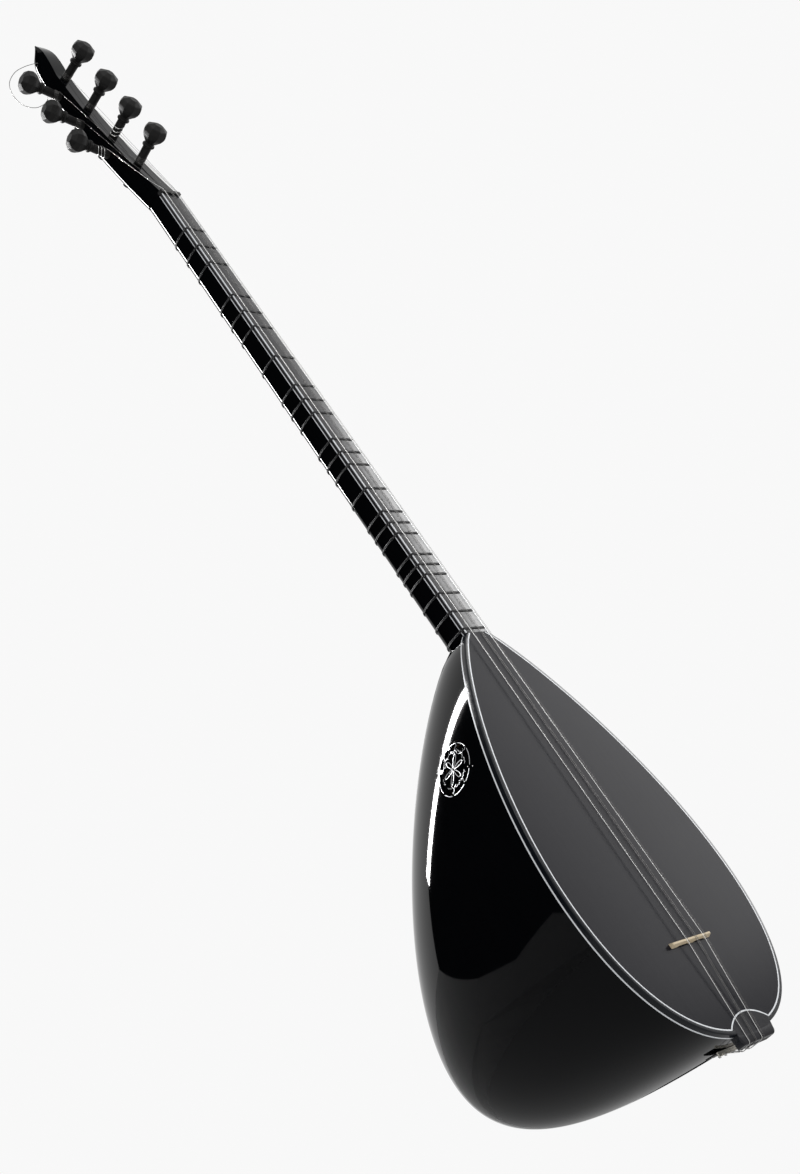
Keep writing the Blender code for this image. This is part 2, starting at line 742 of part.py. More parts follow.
def make_bridge():
    half, foot = BRIDGE_LENGTH / 2, BRIDGE_FOOT
    under = -GAP
    arch = under - BRIDGE_ARCH
    top, tip = under - BRIDGE_HEIGHT, under - BRIDGE_TIP_HEIGHT
    shoulder = half - BRIDGE_TIP_LENGTH
    outline = [(-half, under), (-half + foot, under), (-half + foot + 0.0025, arch), (-foot / 2 - 0.0025, arch),
               (-foot / 2, under), (foot / 2, under), (foot / 2 + 0.0025, arch), (half - foot - 0.0025, arch),
               (half - foot, under), (half, under), (half, tip), (shoulder, top), (-shoulder, top), (-half, tip)]
    curve = bpy.data.curves.new("bridge", "CURVE")
    curve.dimensions = "2D"
    curve.fill_mode = "BOTH"
    curve.extrude = BRIDGE_THICKNESS / 2
    spline = curve.splines.new("POLY")
    spline.points.add(len(outline) - 1)
    for point, (x, y) in zip(spline.points, outline):
        point.co = (x, y, 0, 1)
    spline.use_cyclic_u = True
    item = add_object("bridge_outline", curve)
    item.location = (BRIDGE_X, 0, BRIDGE_Z)
    bpy.context.view_layer.update()
    bridge = curve_to_object("bridge", item, PALE_WOOD)
    for vertex in bridge.data.vertices:
        # The bridge narrows from its foot to its top
        share = (under - vertex.co.y) / BRIDGE_HEIGHT
        vertex.co.z = BRIDGE_Z + (vertex.co.z - BRIDGE_Z) * (1 - 0.35 * share)
    set_origin(bridge, (BRIDGE_X, 0, BRIDGE_Z))
    for i, (x, radius) in enumerate(zip(BRIDGE_STRING_X, STRING_RADII)):
        cut_string_notch(bridge, i, x, top, BRIDGE_Z, radius)


# Headstock

def head_front(h):
    return HEAD_RAKE * h - HEAD_CURVE * h * h


def head_slope(h):
    return math.atan(HEAD_RAKE - 2 * HEAD_CURVE * h)


def head_half_width(h):
    return (NECK_WIDTH_AT_NUT + (HEAD_WIDTH_AT_TOP - NECK_WIDTH_AT_NUT) * h / HEAD_FLAT) / 2


def head_depth(h):
    return HEAD_DEPTH_AT_NUT + (HEAD_DEPTH_AT_TOP - HEAD_DEPTH_AT_NUT) * h / HEAD_FLAT


def head_section(h, front, depth, half):
    side = front + depth * 0.42
    back = rounded_back(half, side, depth * 0.58, HEAD_SQUARENESS, 12)
    return [(-half, front, NUT_Z + h), (half, front, NUT_Z + h)] + [(x, y, NUT_Z + h) for x, y in back]


def peg_frame(kind, h):
    # A peg's axis is Z, from the wood outwards, and its origin is where the axis leaves the wood
    if kind == "front":
        slope = head_slope(h)
        out = Vector((0, -math.cos(slope), math.sin(slope)))
        origin = Vector((0, head_front(h), NUT_Z + h))
    else:
        out = Vector((-math.cos(SIDE_PEG_LIFT), 0, math.sin(SIDE_PEG_LIFT)))
        origin = Vector((-head_half_width(h), head_front(h) + SIDE_PEG_DEPTH, NUT_Z + h))
    # X is where the string meets the shank: the right side of a front peg, the front of a side peg
    lead = Vector((1, 0, 0)) if kind == "front" else Vector((0, -1, 0))
    lead = (lead - out * lead.dot(out)).normalized()
    frame = Matrix((lead, out.cross(lead), out)).transposed().to_4x4()
    frame.translation = origin
    return frame


PEGS = [("front", h) for h in FRONT_PEGS] + [("side", h) for h in SIDE_PEGS]


def peg_reach(kind, h):
    # How far a peg's shank goes into the wood, and a little out of the other side
    across = head_depth(h) if kind == "front" else 2 * head_half_width(h) / math.cos(SIDE_PEG_LIFT)
    return across + PEG_TAIL


def shank_radius(a):
    # a is the distance out of the wood, negative inside it
    return PEG_RADIUS + PEG_TAPER * min(a, 0.0)


def screw_mesh(name, profile, steps):
    # Turns (radius, height) pairs about Z
    mesh = bpy.data.meshes.new(name)
    points = [(radius, 0, height) for radius, height in profile]
    mesh.from_pydata(points, [(i, i + 1) for i in range(len(points) - 1)], [])
    item = add_object(name, mesh, collection=CUTTERS)
    turn = item.modifiers.new("turn", "SCREW")
    turn.steps = turn.render_steps = steps
    turn.use_merge_vertices = True
    turn.merge_threshold = 0.0001
    turn.use_normal_calculate = True
    turned = to_mesh(item)
    bpy.data.objects.remove(item, do_unlink=True)
    shape = bmesh.new()
    shape.from_mesh(turned)
    bmesh.ops.recalc_face_normals(shape, faces=shape.faces)
    shape.to_mesh(turned)
    shape.free()
    return turned


def make_peg(index, kind, h):
    # A round tapered shank with a collar, and an eight-sided head
    reach = peg_reach(kind, h)
    r, shoulder, head = PEG_RADIUS, PEG_SHOULDER, PEG_HEAD_LENGTH
    shank = [(0, shoulder + 0.006), (r * 1.1, shoulder + 0.006), (r * 1.1, shoulder + 0.0034),
             (r * 1.42, shoulder + 0.0026), (r * 1.42, shoulder + 0.0004), (r * 1.03, shoulder - 0.0006), (r, 0),
             (shank_radius(-reach), -reach), (0, -reach)]
    big = PEG_HEAD_RADIUS
    bulb = [(0, shoulder + head), (big * 0.42, shoulder + head), (big * 0.90, shoulder + head * 0.86),
            (big, shoulder + head * 0.63), (big * 0.80, shoulder + head * 0.36), (big * 0.46, shoulder + 0.003),
            (0, shoulder + 0.003)]
    name = "%s_peg_%d" % (kind, index + 1)
    peg = add_object(name, screw_mesh(name, shank, 16), BLACK_SATIN)
    peg.matrix_world = peg_frame(kind, h)
    boolean(peg, cutter(name + "_head", screw_mesh(name + "_head", bulb, 8), peg_frame(kind, h)), "UNION")
    smooth(peg, 30)


def finial():
    # Above the flat front the head swells forward and closes to a blunt point: rise, front, depth, half-width
    front, depth, half = head_front(HEAD_FLAT), HEAD_DEPTH_AT_TOP, HEAD_WIDTH_AT_TOP / 2
    rise = HEAD_LENGTH - HEAD_FLAT
    return [(HEAD_FLAT + rise * 0.16, front - 0.0012, depth + 0.0008, half * 0.97),
            (HEAD_FLAT + rise * 0.45, front - 0.0018, depth + 0.0014, half * 0.87),
            (HEAD_FLAT + rise * 0.72, front + 0.0006, depth - 0.0022, half * 0.70),
            (HEAD_FLAT + rise * 0.90, front + 0.0046, depth - 0.0086, half * 0.50),
            (HEAD_LENGTH, front + 0.0092, depth - 0.0172, half * 0.30)]


def make_headstock():
    base = NUT_THICKNESS + 2 * GAP

    def rings(shape):
        rows = []
        count = 8
        for i in range(count + 1):
            h = base + (HEAD_FLAT - base) * i / count
            rows.append(head_section(h, head_front(h), head_depth(h), head_half_width(h)))
        rows += [head_section(*row) for row in finial()]
        loft(shape, rows)

    head = add_object("headstock", mesh_from(rings, "headstock"), BLACK_LACQUER)
    for i, (kind, h) in enumerate(PEGS):
        reach = peg_reach(kind, h) + 0.004
        name = "peg_hole_%d" % (i + 1)

        def hole(shape, reach=reach):
            over = 0.008
            bmesh.ops.create_cone(shape, cap_ends=True, segments=16, radius1=shank_radius(-reach) + GAP,
                                  radius2=PEG_RADIUS + PEG_TAPER * over + GAP, depth=reach + over)
            bmesh.ops.translate(shape, verts=shape.verts, vec=(0, 0, (over - reach) / 2))

        boolean(head, cutter(name, mesh_from(hole, name), peg_frame(kind, h)))
    smooth(head)


# Strings

def winding_radius(radius):
    # The flats of the coil stay clear of the shank
    flat = PEG_RADIUS + WINDING_CLEARANCE
    return flat / math.cos(math.pi / WINDING_STEPS) + WINDING_RADIUS + max(radius - WINDING_RADIUS, 0)


def make_winding(index, kind, h):
    # The string's turns on the shank: an open coil that starts where the string arrives
    frame = peg_frame(kind, h)
    ring = winding_radius(0)
    per_turn = WINDING_STEPS
    points = []
    for i in range(WINDING_TURNS * per_turn + 1):
        angle = 2 * math.pi * i / per_turn
        rise = WINDING_START + WINDING_PITCH * i / per_turn
        points.append(frame @ Vector((ring * math.cos(angle), ring * math.sin(angle), rise)))
    name = "winding_%d" % (index + 1)
    winding = wire(name, points, WINDING_RADIUS, STEEL, sides=1)
    set_origin(winding, frame.translation)


# String by string, from the left: which peg it goes to, and a place where it bends over the head's edge
STRING_PEGS = (4, 5, 6, 0, 1, 2, 3)
EDGE_BENDS = {0: 0.022, 1: 0.055, 2: 0.112}


def string_end(index):
    kind, h = PEGS[STRING_PEGS[index]]
    frame = peg_frame(kind, h)
    return frame @ Vector((winding_radius(0), -2 * WINDING_RADIUS - GAP, WINDING_START))


def edge_bend(h, radius):
    # Just outside the head's left front edge
    return Vector((-head_half_width(h) - GAP - radius, head_front(h) - GAP - radius, NUT_Z + h))


def make_string(index):
    radius = STRING_RADII[index]
    clear = GAP + radius
    x_tail, x_bridge, x_nut = TAIL_STRING_X[index], BRIDGE_STRING_X[index], NUT_STRING_X[index]
    lip_middle = tail_wall_z(ANCHOR_Y) - GAP - (ANCHOR_PLATE + 0.0012 + ANCHOR_LIP) / 2
    edge = BLOCK_EDGE_ROUND
    points = [(x_tail, ANCHOR_Y + ANCHOR_PLATE + 0.0012, lip_middle),
              (x_tail, ANCHOR_Y - 0.0012, lip_middle),
              (x_tail, BLOCK_DEPTH, -clear),
              (x_tail, edge, -clear)]
    for i in (1, 2, 3):
        angle = math.pi / 8 * i
        points.append((x_tail, edge - (edge + clear) * math.sin(angle), edge - (edge + clear) * math.cos(angle)))
    points.append((x_tail, -clear, edge))
    points.append((x_bridge, -GAP - BRIDGE_HEIGHT, BRIDGE_Z))
    points.append((x_nut, -NUT_HEIGHT, NUT_Z + NUT_THICKNESS / 2))
    points.append((x_nut, -NUT_HEIGHT, NUT_Z + NUT_THICKNESS + clear))
    bend = EDGE_BENDS.get(index)
    if bend:
        points.append(tuple(edge_bend(bend, radius)))
    points.append(tuple(string_end(index)))
    wire("string_%d" % (index + 1), points, radius, STEEL, sides=1)


# The loose end's route, with heights above the nut
LOOSE_END = ((-0.0191, 0.0416, 0.1846), (-0.0186, 0.0434, 0.1832), (-0.0182, 0.0466, 0.1826),
             (-0.0180, 0.0525, 0.1848), (-0.0180, 0.0606, 0.1901), (-0.0180, 0.0689, 0.2010),
             (-0.0180, 0.0742, 0.2139), (-0.0180, 0.0754, 0.2268), (-0.0180, 0.0728, 0.2368),
             (-0.0178, 0.0674, 0.2412), (-0.0170, 0.0575, 0.2418), (-0.0145, 0.0470, 0.2380),
             (-0.0108, 0.0385, 0.2335), (-0.0080, 0.0345, 0.2310))


def smooth_route(points, per_span):
    # A smooth curve through every point of a route
    route = [Vector(p) for p in points]
    ends = [route[0] * 2 - route[1]] + route + [route[-1] * 2 - route[-2]]
    out = []
    for a, b, c, d in zip(ends, ends[1:], ends[2:], ends[3:]):
        for i in range(per_span):
            t = i / per_span
            out.append(0.5 * (2 * b + (c - a) * t + (2 * a - 5 * b + 4 * c - d) * t * t
                              + (3 * b - a - 3 * c + d) * t ** 3))
    return out + [route[-1]]


def make_loose_end():
    route = [(x, y, NUT_Z + h) for x, y, h in LOOSE_END]
    wire("loose_string_end", smooth_route(route, 3), STRING_RADII[2], STEEL, sides=1)


def main():
    rosette_place = rosette_frame()
    make_bowl(rosette_place)
    make_rosette(rosette_place)
    make_face()
    make_half_moon()
    make_tail_block()
    make_string_anchor()
    make_neck()
    make_neck_block()
    make_nut()
    make_headstock()
    for index, z in enumerate(FRET_Z):
        make_fret(index, z)
    make_bridge()
    counts = {"front": 0, "side": 0}
    for index, (kind, h) in enumerate(PEGS):
        make_peg(counts[kind], kind, h)
        counts[kind] += 1
        make_winding(index, kind, h)
    for index in range(len(STRING_RADII)):
        make_string(index)
    make_loose_end()
    for item in list(SAZ.objects) + list(CUTTERS.objects):
        item.matrix_world = Matrix.Translation((0, FACE_Y, 0)) @ item.matrix_world
    print("nodes", len(SAZ.objects), "gap between turns", round(WINDING_PITCH - 2 * WINDING_RADIUS, 5))


main()
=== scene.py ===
import math

import bmesh
import bpy
from mathutils import Matrix, Vector


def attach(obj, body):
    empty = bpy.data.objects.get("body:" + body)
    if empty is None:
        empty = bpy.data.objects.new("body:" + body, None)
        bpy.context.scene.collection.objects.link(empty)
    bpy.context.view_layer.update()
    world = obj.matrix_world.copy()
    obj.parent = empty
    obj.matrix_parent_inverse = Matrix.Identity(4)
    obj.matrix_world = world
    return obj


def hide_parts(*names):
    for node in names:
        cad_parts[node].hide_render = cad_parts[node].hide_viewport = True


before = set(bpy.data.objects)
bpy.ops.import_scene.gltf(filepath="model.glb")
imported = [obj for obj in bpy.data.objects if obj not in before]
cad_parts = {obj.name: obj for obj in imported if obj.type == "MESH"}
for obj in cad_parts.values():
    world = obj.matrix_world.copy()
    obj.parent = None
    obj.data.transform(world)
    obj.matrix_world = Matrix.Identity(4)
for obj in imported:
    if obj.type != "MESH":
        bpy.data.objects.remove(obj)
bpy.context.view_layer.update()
print("frame loaded:", len(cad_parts), "nodes")

# Shapes are written with the soundboard's face at y = 0, and addPiece moves them to the frame's own place
faceY = -0.0092
scene = bpy.context.scene


# Shader nodes as plain maths

class Value:
    # Wraps one output socket, so that materials can be written as expressions
    def __init__(self, sheet, socket):
        self.sheet, self.socket = sheet, socket

    def maths(self, operation, *values, clamp=False):
        return self.sheet.node("ShaderNodeMath", {"operation": operation, "use_clamp": clamp},
                               dict(enumerate(values)))

    def __add__(self, other):
        return self.maths("ADD", self, other)

    def __radd__(self, other):
        return self.maths("ADD", other, self)

    def __sub__(self, other):
        return self.maths("SUBTRACT", self, other)

    def __rsub__(self, other):
        return self.maths("SUBTRACT", other, self)

    def __mul__(self, other):
        return self.maths("MULTIPLY", self, other)

    def __rmul__(self, other):
        return self.maths("MULTIPLY", other, self)

    def __pow__(self, other):
        return self.maths("POWER", self, other)

    def __rpow__(self, other):
        return self.maths("POWER", other, self)

    def clamped(self):
        return self.maths("ADD", self, 0.0, clamp=True)


class Sheet:
    # A material or world node tree
    def __init__(self, tree):
        self.tree = tree

    def fill(self, made, sockets):
        # Plain values are set and sheet values are linked
        for key, value in sockets.items():
            target = made.inputs[key]
            if isinstance(value, Value):
                self.tree.links.new(value.socket, target)
            elif target.type == "RGBA" and len(value) == 3:
                target.default_value = (*value, 1)
            else:
                target.default_value = value

    def node(self, kind, settings=None, sockets=None, out=0):
        made = self.tree.nodes.new(kind)
        for key, value in (settings or {}).items():
            setattr(made, key, value)
        self.fill(made, sockets or {})
        return Value(self, made.outputs[out])

    def coordinates(self, stretch=(1, 1, 1)):
        place = self.node("ShaderNodeTexCoord", out="Object")
        return self.node("ShaderNodeMapping", {}, {"Vector": place, "Scale": stretch})

    def noise(self, place, scale, detail=3.0, roughness=0.5):
        return self.node("ShaderNodeTexNoise", {}, {"Vector": place, "Scale": scale, "Detail": detail,
                                                    "Roughness": roughness}, "Fac")

    def tint(self, amount, first, second):
        return self.node("ShaderNodeMix", {"data_type": "RGBA", "clamp_factor": True},
                         {0: amount, 6: first, 7: second}, 2)


def newMaterial(name, fill, *colours):
    # fill returns the Principled sockets, with any relief under Height as (strength, distance, height)
    material = bpy.data.materials.new(name)
    material.use_nodes = True
    sheet = Sheet(material.node_tree)
    sockets = fill(sheet, *colours)
    relief = sockets.pop("Height", None)
    if relief:
        bump = dict(zip(("Strength", "Distance", "Height"), relief))
        sockets["Normal"] = sheet.node("ShaderNodeBump", {}, bump, "Normal")
    sheet.fill(material.node_tree.nodes["Principled BSDF"], sockets)
    return material


# Finishes

lacquer = {"roughness": 0.026, "gloss": 0.10, "ripple": 0.00005}
board = {"roughness": 0.20, "gloss": 0.030, "ringScale": 330.0, "fibreScale": 900.0, "relief": 0.00008}
# The two colours that each finish runs between
tones = {"lacquer": ((0.0009, 0.0010, 0.0014), (0.0026, 0.0029, 0.0036)),
         "board": ((0.0070, 0.0070, 0.0096), (0.0160, 0.0156, 0.0208)),
         "tail": ((0.022, 0.022, 0.0245), (0.040, 0.040, 0.044)),
         "binding": ((0.003, 0.004, 0.006), (0.008, 0.010, 0.014)),
         "white": ((0.66, 0.69, 0.73), (0.84, 0.86, 0.88)),
         # Bright lines that paint the highlights on the rosette's cut edges
         "edgeHighlight": ((0.52, 0.53, 0.55), (0.86, 0.87, 0.88)),
         "peg": ((0.006, 0.006, 0.0062), (0.014, 0.0135, 0.013)),
         "fingerboard": ((0.010, 0.010, 0.012), (0.026, 0.026, 0.029)),
         "nut": ((0.005, 0.005, 0.006), (0.018, 0.017, 0.017)),
         "bridge": ((0.80, 0.68, 0.48), (0.52, 0.38, 0.22)),
         "dull": ((0.13, 0.127, 0.124), (0.24, 0.235, 0.23)),
         "wound": ((0.66, 0.66, 0.65), (0.92, 0.92, 0.91)),
         "plate": ((0.62, 0.59, 0.51), (0.84, 0.81, 0.73)),
         "line": ((0.006, 0.006, 0.007), (0.024, 0.024, 0.027)),
         "raw": ((0.16, 0.10, 0.055), (0.34, 0.23, 0.13))}


def lacquerNodes(sheet, clear, haze):
    place = sheet.coordinates()
    slow = sheet.noise(place, 9.0, 2.0)
    fine = sheet.noise(place, 420.0, 2.0)
    dust = sheet.noise(place, 1900.0, 2.0)
    wipe = sheet.noise(sheet.coordinates((1, 1, 0.12)), 160.0, 4.0)
    return {"Base Color": sheet.tint(slow * 0.7 + wipe * 0.3, clear, haze),
            "Roughness": lacquer["roughness"] + 0.02 * wipe + 0.015 * (dust ** 3.0),
            "Specular IOR Level": lacquer["gloss"],
            "Height": (0.20, lacquer["ripple"], slow + 0.04 * fine)}


def boardNodes(sheet, dark, light):
    rings = sheet.noise(sheet.coordinates((1, 1, 0.018)), board["ringScale"], 3.0, 0.6)
    fibres = sheet.noise(sheet.coordinates((1, 1, 0.03)), board["fibreScale"], 4.0, 0.7)
    cloud = sheet.noise(sheet.coordinates(), 7.0, 2.0)
    tone = (0.45 * rings + 0.25 * fibres + 0.45 * cloud - 0.12).clamped()
    return {"Base Color": sheet.tint(tone, dark, light),
            "Roughness": board["roughness"] + 0.10 * fibres - 0.05 * cloud,
            "Specular IOR Level": board["gloss"],
            "Height": (0.25, board["relief"], rings * 0.6 + fibres * 0.4)}


def darkWoodNodes(roughness, gloss, stretch=0.06, scale=520.0):
    # Dense black wood with its grain along the neck
    def fill(sheet, dark, light):
        fibres = sheet.noise(sheet.coordinates((1, 1, stretch)), scale, 5.0, 0.65)
        pores = sheet.noise(sheet.coordinates((1.6, 1.6, stretch * 2.0)), scale * 2.2, 2.0, 0.6)
        worn = sheet.noise(sheet.coordinates(), 90.0, 3.0)
        tone = (0.6 * fibres + 0.5 * worn - 0.1).clamped()
        return {"Base Color": sheet.tint(tone, dark, light),
                "Roughness": roughness + 0.16 * (worn - 0.5) + 0.08 * (fibres - 0.5),
                "Specular IOR Level": gloss,
                "Height": (0.35, 0.00006, fibres * 0.7 + (pores ** 4.0) * -0.8)}
    return fill


def whiteLineNodes(sheet, shade, white):
    spots = sheet.noise(sheet.coordinates((1, 1, 0.2)), 700.0, 3.0)
    return {"Base Color": sheet.tint(spots, shade, white), "Roughness": 0.22 + 0.14 * spots}


# Half-metal silver for the rosette's lines, which are painted highlights on its cut edges
def paintedHighlightNodes(sheet, grey, silver):
    spots = sheet.noise(sheet.coordinates(), 900.0, 3.0)
    return {"Base Color": sheet.tint(spots, grey, silver), "Roughness": 0.20 + 0.20 * spots, "Metallic": 0.55}


def bridgeNodes(sheet, light, dark):
    grain = sheet.noise(sheet.coordinates((0.07, 1, 1)), 700.0, 4.0, 0.65)
    flame = sheet.noise(sheet.coordinates((1, 0.3, 0.3)), 120.0, 2.0)
    pores = sheet.noise(sheet.coordinates((0.10, 1, 1)), 2600.0, 2.0)
    tone = (0.55 * grain + 0.25 * flame + 0.7 * (pores ** 5.0) - 0.10).clamped()
    return {"Base Color": sheet.tint(tone, light, dark), "Roughness": 0.50 + 0.18 * grain,
            "Height": (0.4, 0.00006, grain - (pores ** 4.0))}


def steelNodes(sheet, dark, light):
    drawn = sheet.noise(sheet.coordinates((1, 1, 0.02)), 5200.0, 3.0)
    stain = sheet.noise(sheet.coordinates(), 60.0, 2.0)
    return {"Base Color": sheet.tint(stain, dark, light), "Metallic": 1.0, "Roughness": 0.18 + 0.14 * drawn}


def woundStringNodes(sheet, dark, light):
    # A fine wire wrap across the string's length
    bands = {"wave_type": "BANDS", "bands_direction": "Z", "wave_profile": "SIN"}
    wrap = sheet.node("ShaderNodeTexWave", bands, {"Vector": sheet.coordinates(), "Scale": 1250.0}, "Fac")
    stain = sheet.noise(sheet.coordinates(), 70.0, 2.0)
    return {"Base Color": sheet.tint(0.5 * wrap + 0.5 * stain, dark, light), "Metallic": 1.0,
            "Roughness": 0.24 - 0.06 * wrap, "Height": (0.3, 0.000012, wrap)}


def plateNodes(sheet, dark, light):
    brushed = sheet.noise(sheet.coordinates((0.03, 1, 1)), 3000.0, 3.0)
    stain = sheet.noise(sheet.coordinates(), 110.0, 3.0)
    return {"Base Color": sheet.tint(stain, dark, light), "Metallic": 0.7, "Roughness": 0.26 + 0.18 * brushed,
            "Height": (0.2, 0.00003, brushed)}


def lineNodes(sheet, dark, worn):
    # Nylon fret line: dark, slightly glassy, with the twist of its strands
    twist = sheet.noise(sheet.coordinates((1, 1, 2.5)), 1500.0, 2.0)
    wear = sheet.noise(sheet.coordinates(), 240.0, 2.0)
    return {"Base Color": sheet.tint(wear, dark, worn), "Roughness": 0.34 + 0.15 * wear,
            "Specular IOR Level": 0.3, "Height": (0.4, 0.00005, twist)}


def rawWoodNodes(sheet, dark, light):
    fibres = sheet.noise(sheet.coordinates((1, 1, 0.05)), 260.0, 4.0, 0.6)
    return {"Base Color": sheet.tint(fibres, dark, light), "Roughness": 0.72 + 0.12 * fibres,
            "Height": (0.4, 0.0001, fibres)}


finishes = {"lacquer": ("blackLacquer", lacquerNodes), "board": ("charcoalBoard", boardNodes),
            "tail": ("charcoalTail", boardNodes), "binding": ("bindingBlack", darkWoodNodes(0.16, 0.22)),
            "white": ("whiteLine", whiteLineNodes), "edgeHighlight": ("paintedEdgeHighlight", paintedHighlightNodes),
            "peg": ("pegEbony", darkWoodNodes(0.40, 0.15)),
            "fingerboard": ("fingerboardEbony", darkWoodNodes(0.24, 0.45, 0.03, 760.0)),
            "nut": ("nutBlack", darkWoodNodes(0.30, 0.25)), "bridge": ("bridgeMaple", bridgeNodes),
            "dull": ("dullString", steelNodes), "wound": ("woundString", woundStringNodes),
            "plate": ("anchorSteel", plateNodes), "line": ("fretLine", lineNodes),
            "raw": ("rawWood", rawWoodNodes)}
materials = {finish: newMaterial(name, fill, *tones[finish]) for finish, (name, fill) in finishes.items()}
print("finishes made:", len(materials))


# Small builders

def around(count):
    # The angles of a full turn
    return [2 * math.pi * i / count for i in range(count)]


def quarter(steps):
    # The angles of a quarter turn, with both ends
    return [math.pi / 2 * i / steps for i in range(steps + 1)]


def placed(name, data):
    item = bpy.data.objects.new(name, data)
    scene.collection.objects.link(item)
    return item


def addPiece(name, mesh, finish, carrier="saz", shift=True, replaces=(), smoothAngle=40):
    if shift:
        mesh.transform(Matrix.Translation((0, faceY, 0)))
    piece = placed(name, mesh)
    mesh.materials.clear()
    mesh.materials.append(materials[finish])
    mesh.shade_smooth()
    mesh.set_sharp_from_angle(angle=math.radians(smoothAngle))
    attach(piece, carrier)
    if replaces:
        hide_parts(*replaces)
    return piece


def secondFinish(piece, finish, chosen):
    # Gives the chosen faces another finish
    piece.data.materials.append(materials[finish])
    for face in piece.data.polygons:
        if chosen(face):
            face.material_index = 1


def meshFrom(name, build):
    shape = bmesh.new()
    build(shape)
    bmesh.ops.recalc_face_normals(shape, faces=shape.faces)
    mesh = bpy.data.meshes.new(name)
    shape.to_mesh(mesh)
    shape.free()
    return mesh


def loft(shape, rings, closedPath=False, capEnd=True):
    # Skins rings of points, with a cap at each end unless the path closes on itself
    rows = [[shape.verts.new(point) for point in ring] for ring in rings]
    count = len(rows[0])
    for low, high in zip(rows, rows[1:] + rows[:1] if closedPath else rows[1:]):
        for i in range(count):
            j = (i + 1) % count
            shape.faces.new((low[i], low[j], high[j], high[i]))
    if not closedPath:
        shape.faces.new(rows[0])
        if capEnd:
            shape.faces.new(rows[-1])
    return rows


def baked(piece):
    # The shape of a piece with its modifiers, as a plain mesh
    bpy.context.view_layer.update()
    graph = bpy.context.evaluated_depsgraph_get()
    return bpy.data.meshes.new_from_object(piece.evaluated_get(graph))


def cutAway(mesh, cutters):
    # The mesh with each cutter, given as (mesh, place), taken out of it
    rough = placed("rough", mesh)
    items = [rough]
    for shape, place in cutters:
        cutter = placed("cutter", shape)
        cutter.matrix_world = place
        cut = rough.modifiers.new("cut", "BOOLEAN")
        cut.operation, cut.solver, cut.object = "DIFFERENCE", "EXACT", cutter
        items.append(cutter)
    mesh = baked(rough)
    for item in items:
        bpy.data.objects.remove(item, do_unlink=True)
    return mesh


def tubeMesh(name, paths, radii, sides=8, closed=False):
    # One mesh of round tubes along lists of points; a radius may be a list with one for each point
    circle = [(math.cos(turn), math.sin(turn)) for turn in around(sides)]

    def build(shape):
        for path, radius in zip(paths, radii):
            points = [Vector(point) for point in path]
            sizes = radius if isinstance(radius, list) else [radius] * len(points)
            before = [points[-1] if closed else points[0]] + points[:-1]
            after = points[1:] + [points[0] if closed else points[-1]]
            side, rings = None, []
            for last, point, following, size in zip(before, points, after, sizes):
                ahead = (following - last).normalized()
                if side is None:
                    side = ahead.cross(Vector((0, 0, 1)))
                    if side.length < 0.1:
                        side = ahead.cross(Vector((1, 0, 0)))
                side = (side - ahead * side.dot(ahead)).normalized()
                other = ahead.cross(side)
                rings.append([point + (side * c + other * s) * size for c, s in circle])
            loft(shape, rings, closed)
    return meshFrom(name, build)


def smoothRoute(points, perSpan):
    # A curve through all the points
    route = [Vector(point) for point in points]
    ends = [route[0] * 2 - route[1]] + route + [route[-1] * 2 - route[-2]]
    out = []
    for a, b, c, d in zip(ends, ends[1:], ends[2:], ends[3:]):
        for i in range(perSpan):
            t = i / perSpan
            out.append(0.5 * (2 * b + (c - a) * t + (2 * a - 5 * b + 4 * c - d) * t * t
                              + (3 * b - a - 3 * c + d) * t ** 3))
    return out + [route[-1]]


# The body's outline, as in the part

body = {"length": 0.412, "width": 0.2535, "depth": 0.2615, "rise": 0.84, "fall": 0.44, "depthRise": 0.88,
        "depthFall": 0.29, "lean": 0.10, "wall": 0.0040, "rim": 0.0090, "jointZ": 0.420, "endZ": 0.008,
        "neckWidth": 0.0310, "neckDepth": 0.0320, "crowding": 2.3}
edge = {"binding": 0.0033, "bindingHeight": 0.0048, "line": 0.0011, "sideLine": 0.0010, "gap": 0.0003,
        "board": 0.0032, "lineDepth": 0.0012, "bindingRound": 0.0011,
        # How far the lines overlap their grooves, stand proud and reach under the binding
        "spread": 0.0001, "proud": 0.00003, "sideProud": 0.00004, "tuck": 0.0002}
sideLineY = edge["bindingHeight"] + edge["gap"]
rimY = sideLineY + edge["sideLine"] + edge["gap"]
ledgeY = edge["board"] + edge["gap"]
rebate = edge["binding"] + edge["gap"]


def swell(u, rise, fall):
    peak = rise / (rise + fall)
    return (u / peak) ** rise * ((1 - u) / (1 - peak)) ** fall


def withNeck(u, neck, full, rise, fall):
    peak = rise / (rise + fall)
    return neck * (1 - u) ** 2 + (full - neck * (1 - peak) ** 2) * swell(u, rise, fall)


def halfWidth(u):
    return withNeck(u, body["neckWidth"] / 2, body["width"] / 2, body["rise"], body["fall"])


def depthAt(u):
    return withNeck(u, body["neckDepth"], body["depth"], body["depthRise"], body["depthFall"])


def along(v):
    # Even steps of v crowd towards the tail, where the outline turns
    return 1 - (1 - v) ** body["crowding"]


def edgePoint(v, inset=0.0):
    # A point of the left or right edge as (x, z), moved inwards
    low, high = max(v - 0.004, 0.0), min(v + 0.004, 1.0)
    ahead = Vector((halfWidth(along(high)) - halfWidth(along(low)),
                    -body["length"] * (along(high) - along(low))))
    inward = Vector((ahead.y, -ahead.x)).normalized()
    turn = min(1.0, along(v) / 0.08)
    inward = (Vector((-1, 0)) * (1 - turn) + inward * turn).normalized()
    if v >= 1:
        inward = Vector((0, 1))
    return Vector((halfWidth(along(v)), body["jointZ"] - body["length"] * along(v))) + inward * inset


def halfRing(v, inset, topY, depth, steps):
    point = edgePoint(v, inset)
    ring = []
    for i in range(steps + 1):
        angle = math.pi * i / steps
        y = topY + depth * math.sin(angle)
        ring.append(Vector((point.x * math.cos(angle), y,
                            point.y + body["lean"] * max(y - rimY, 0) * along(v) ** 4)))
    return ring


def edgeSide(inset, steps=150):
    return [edgePoint(i / steps, inset) for i in range(steps + 1)]


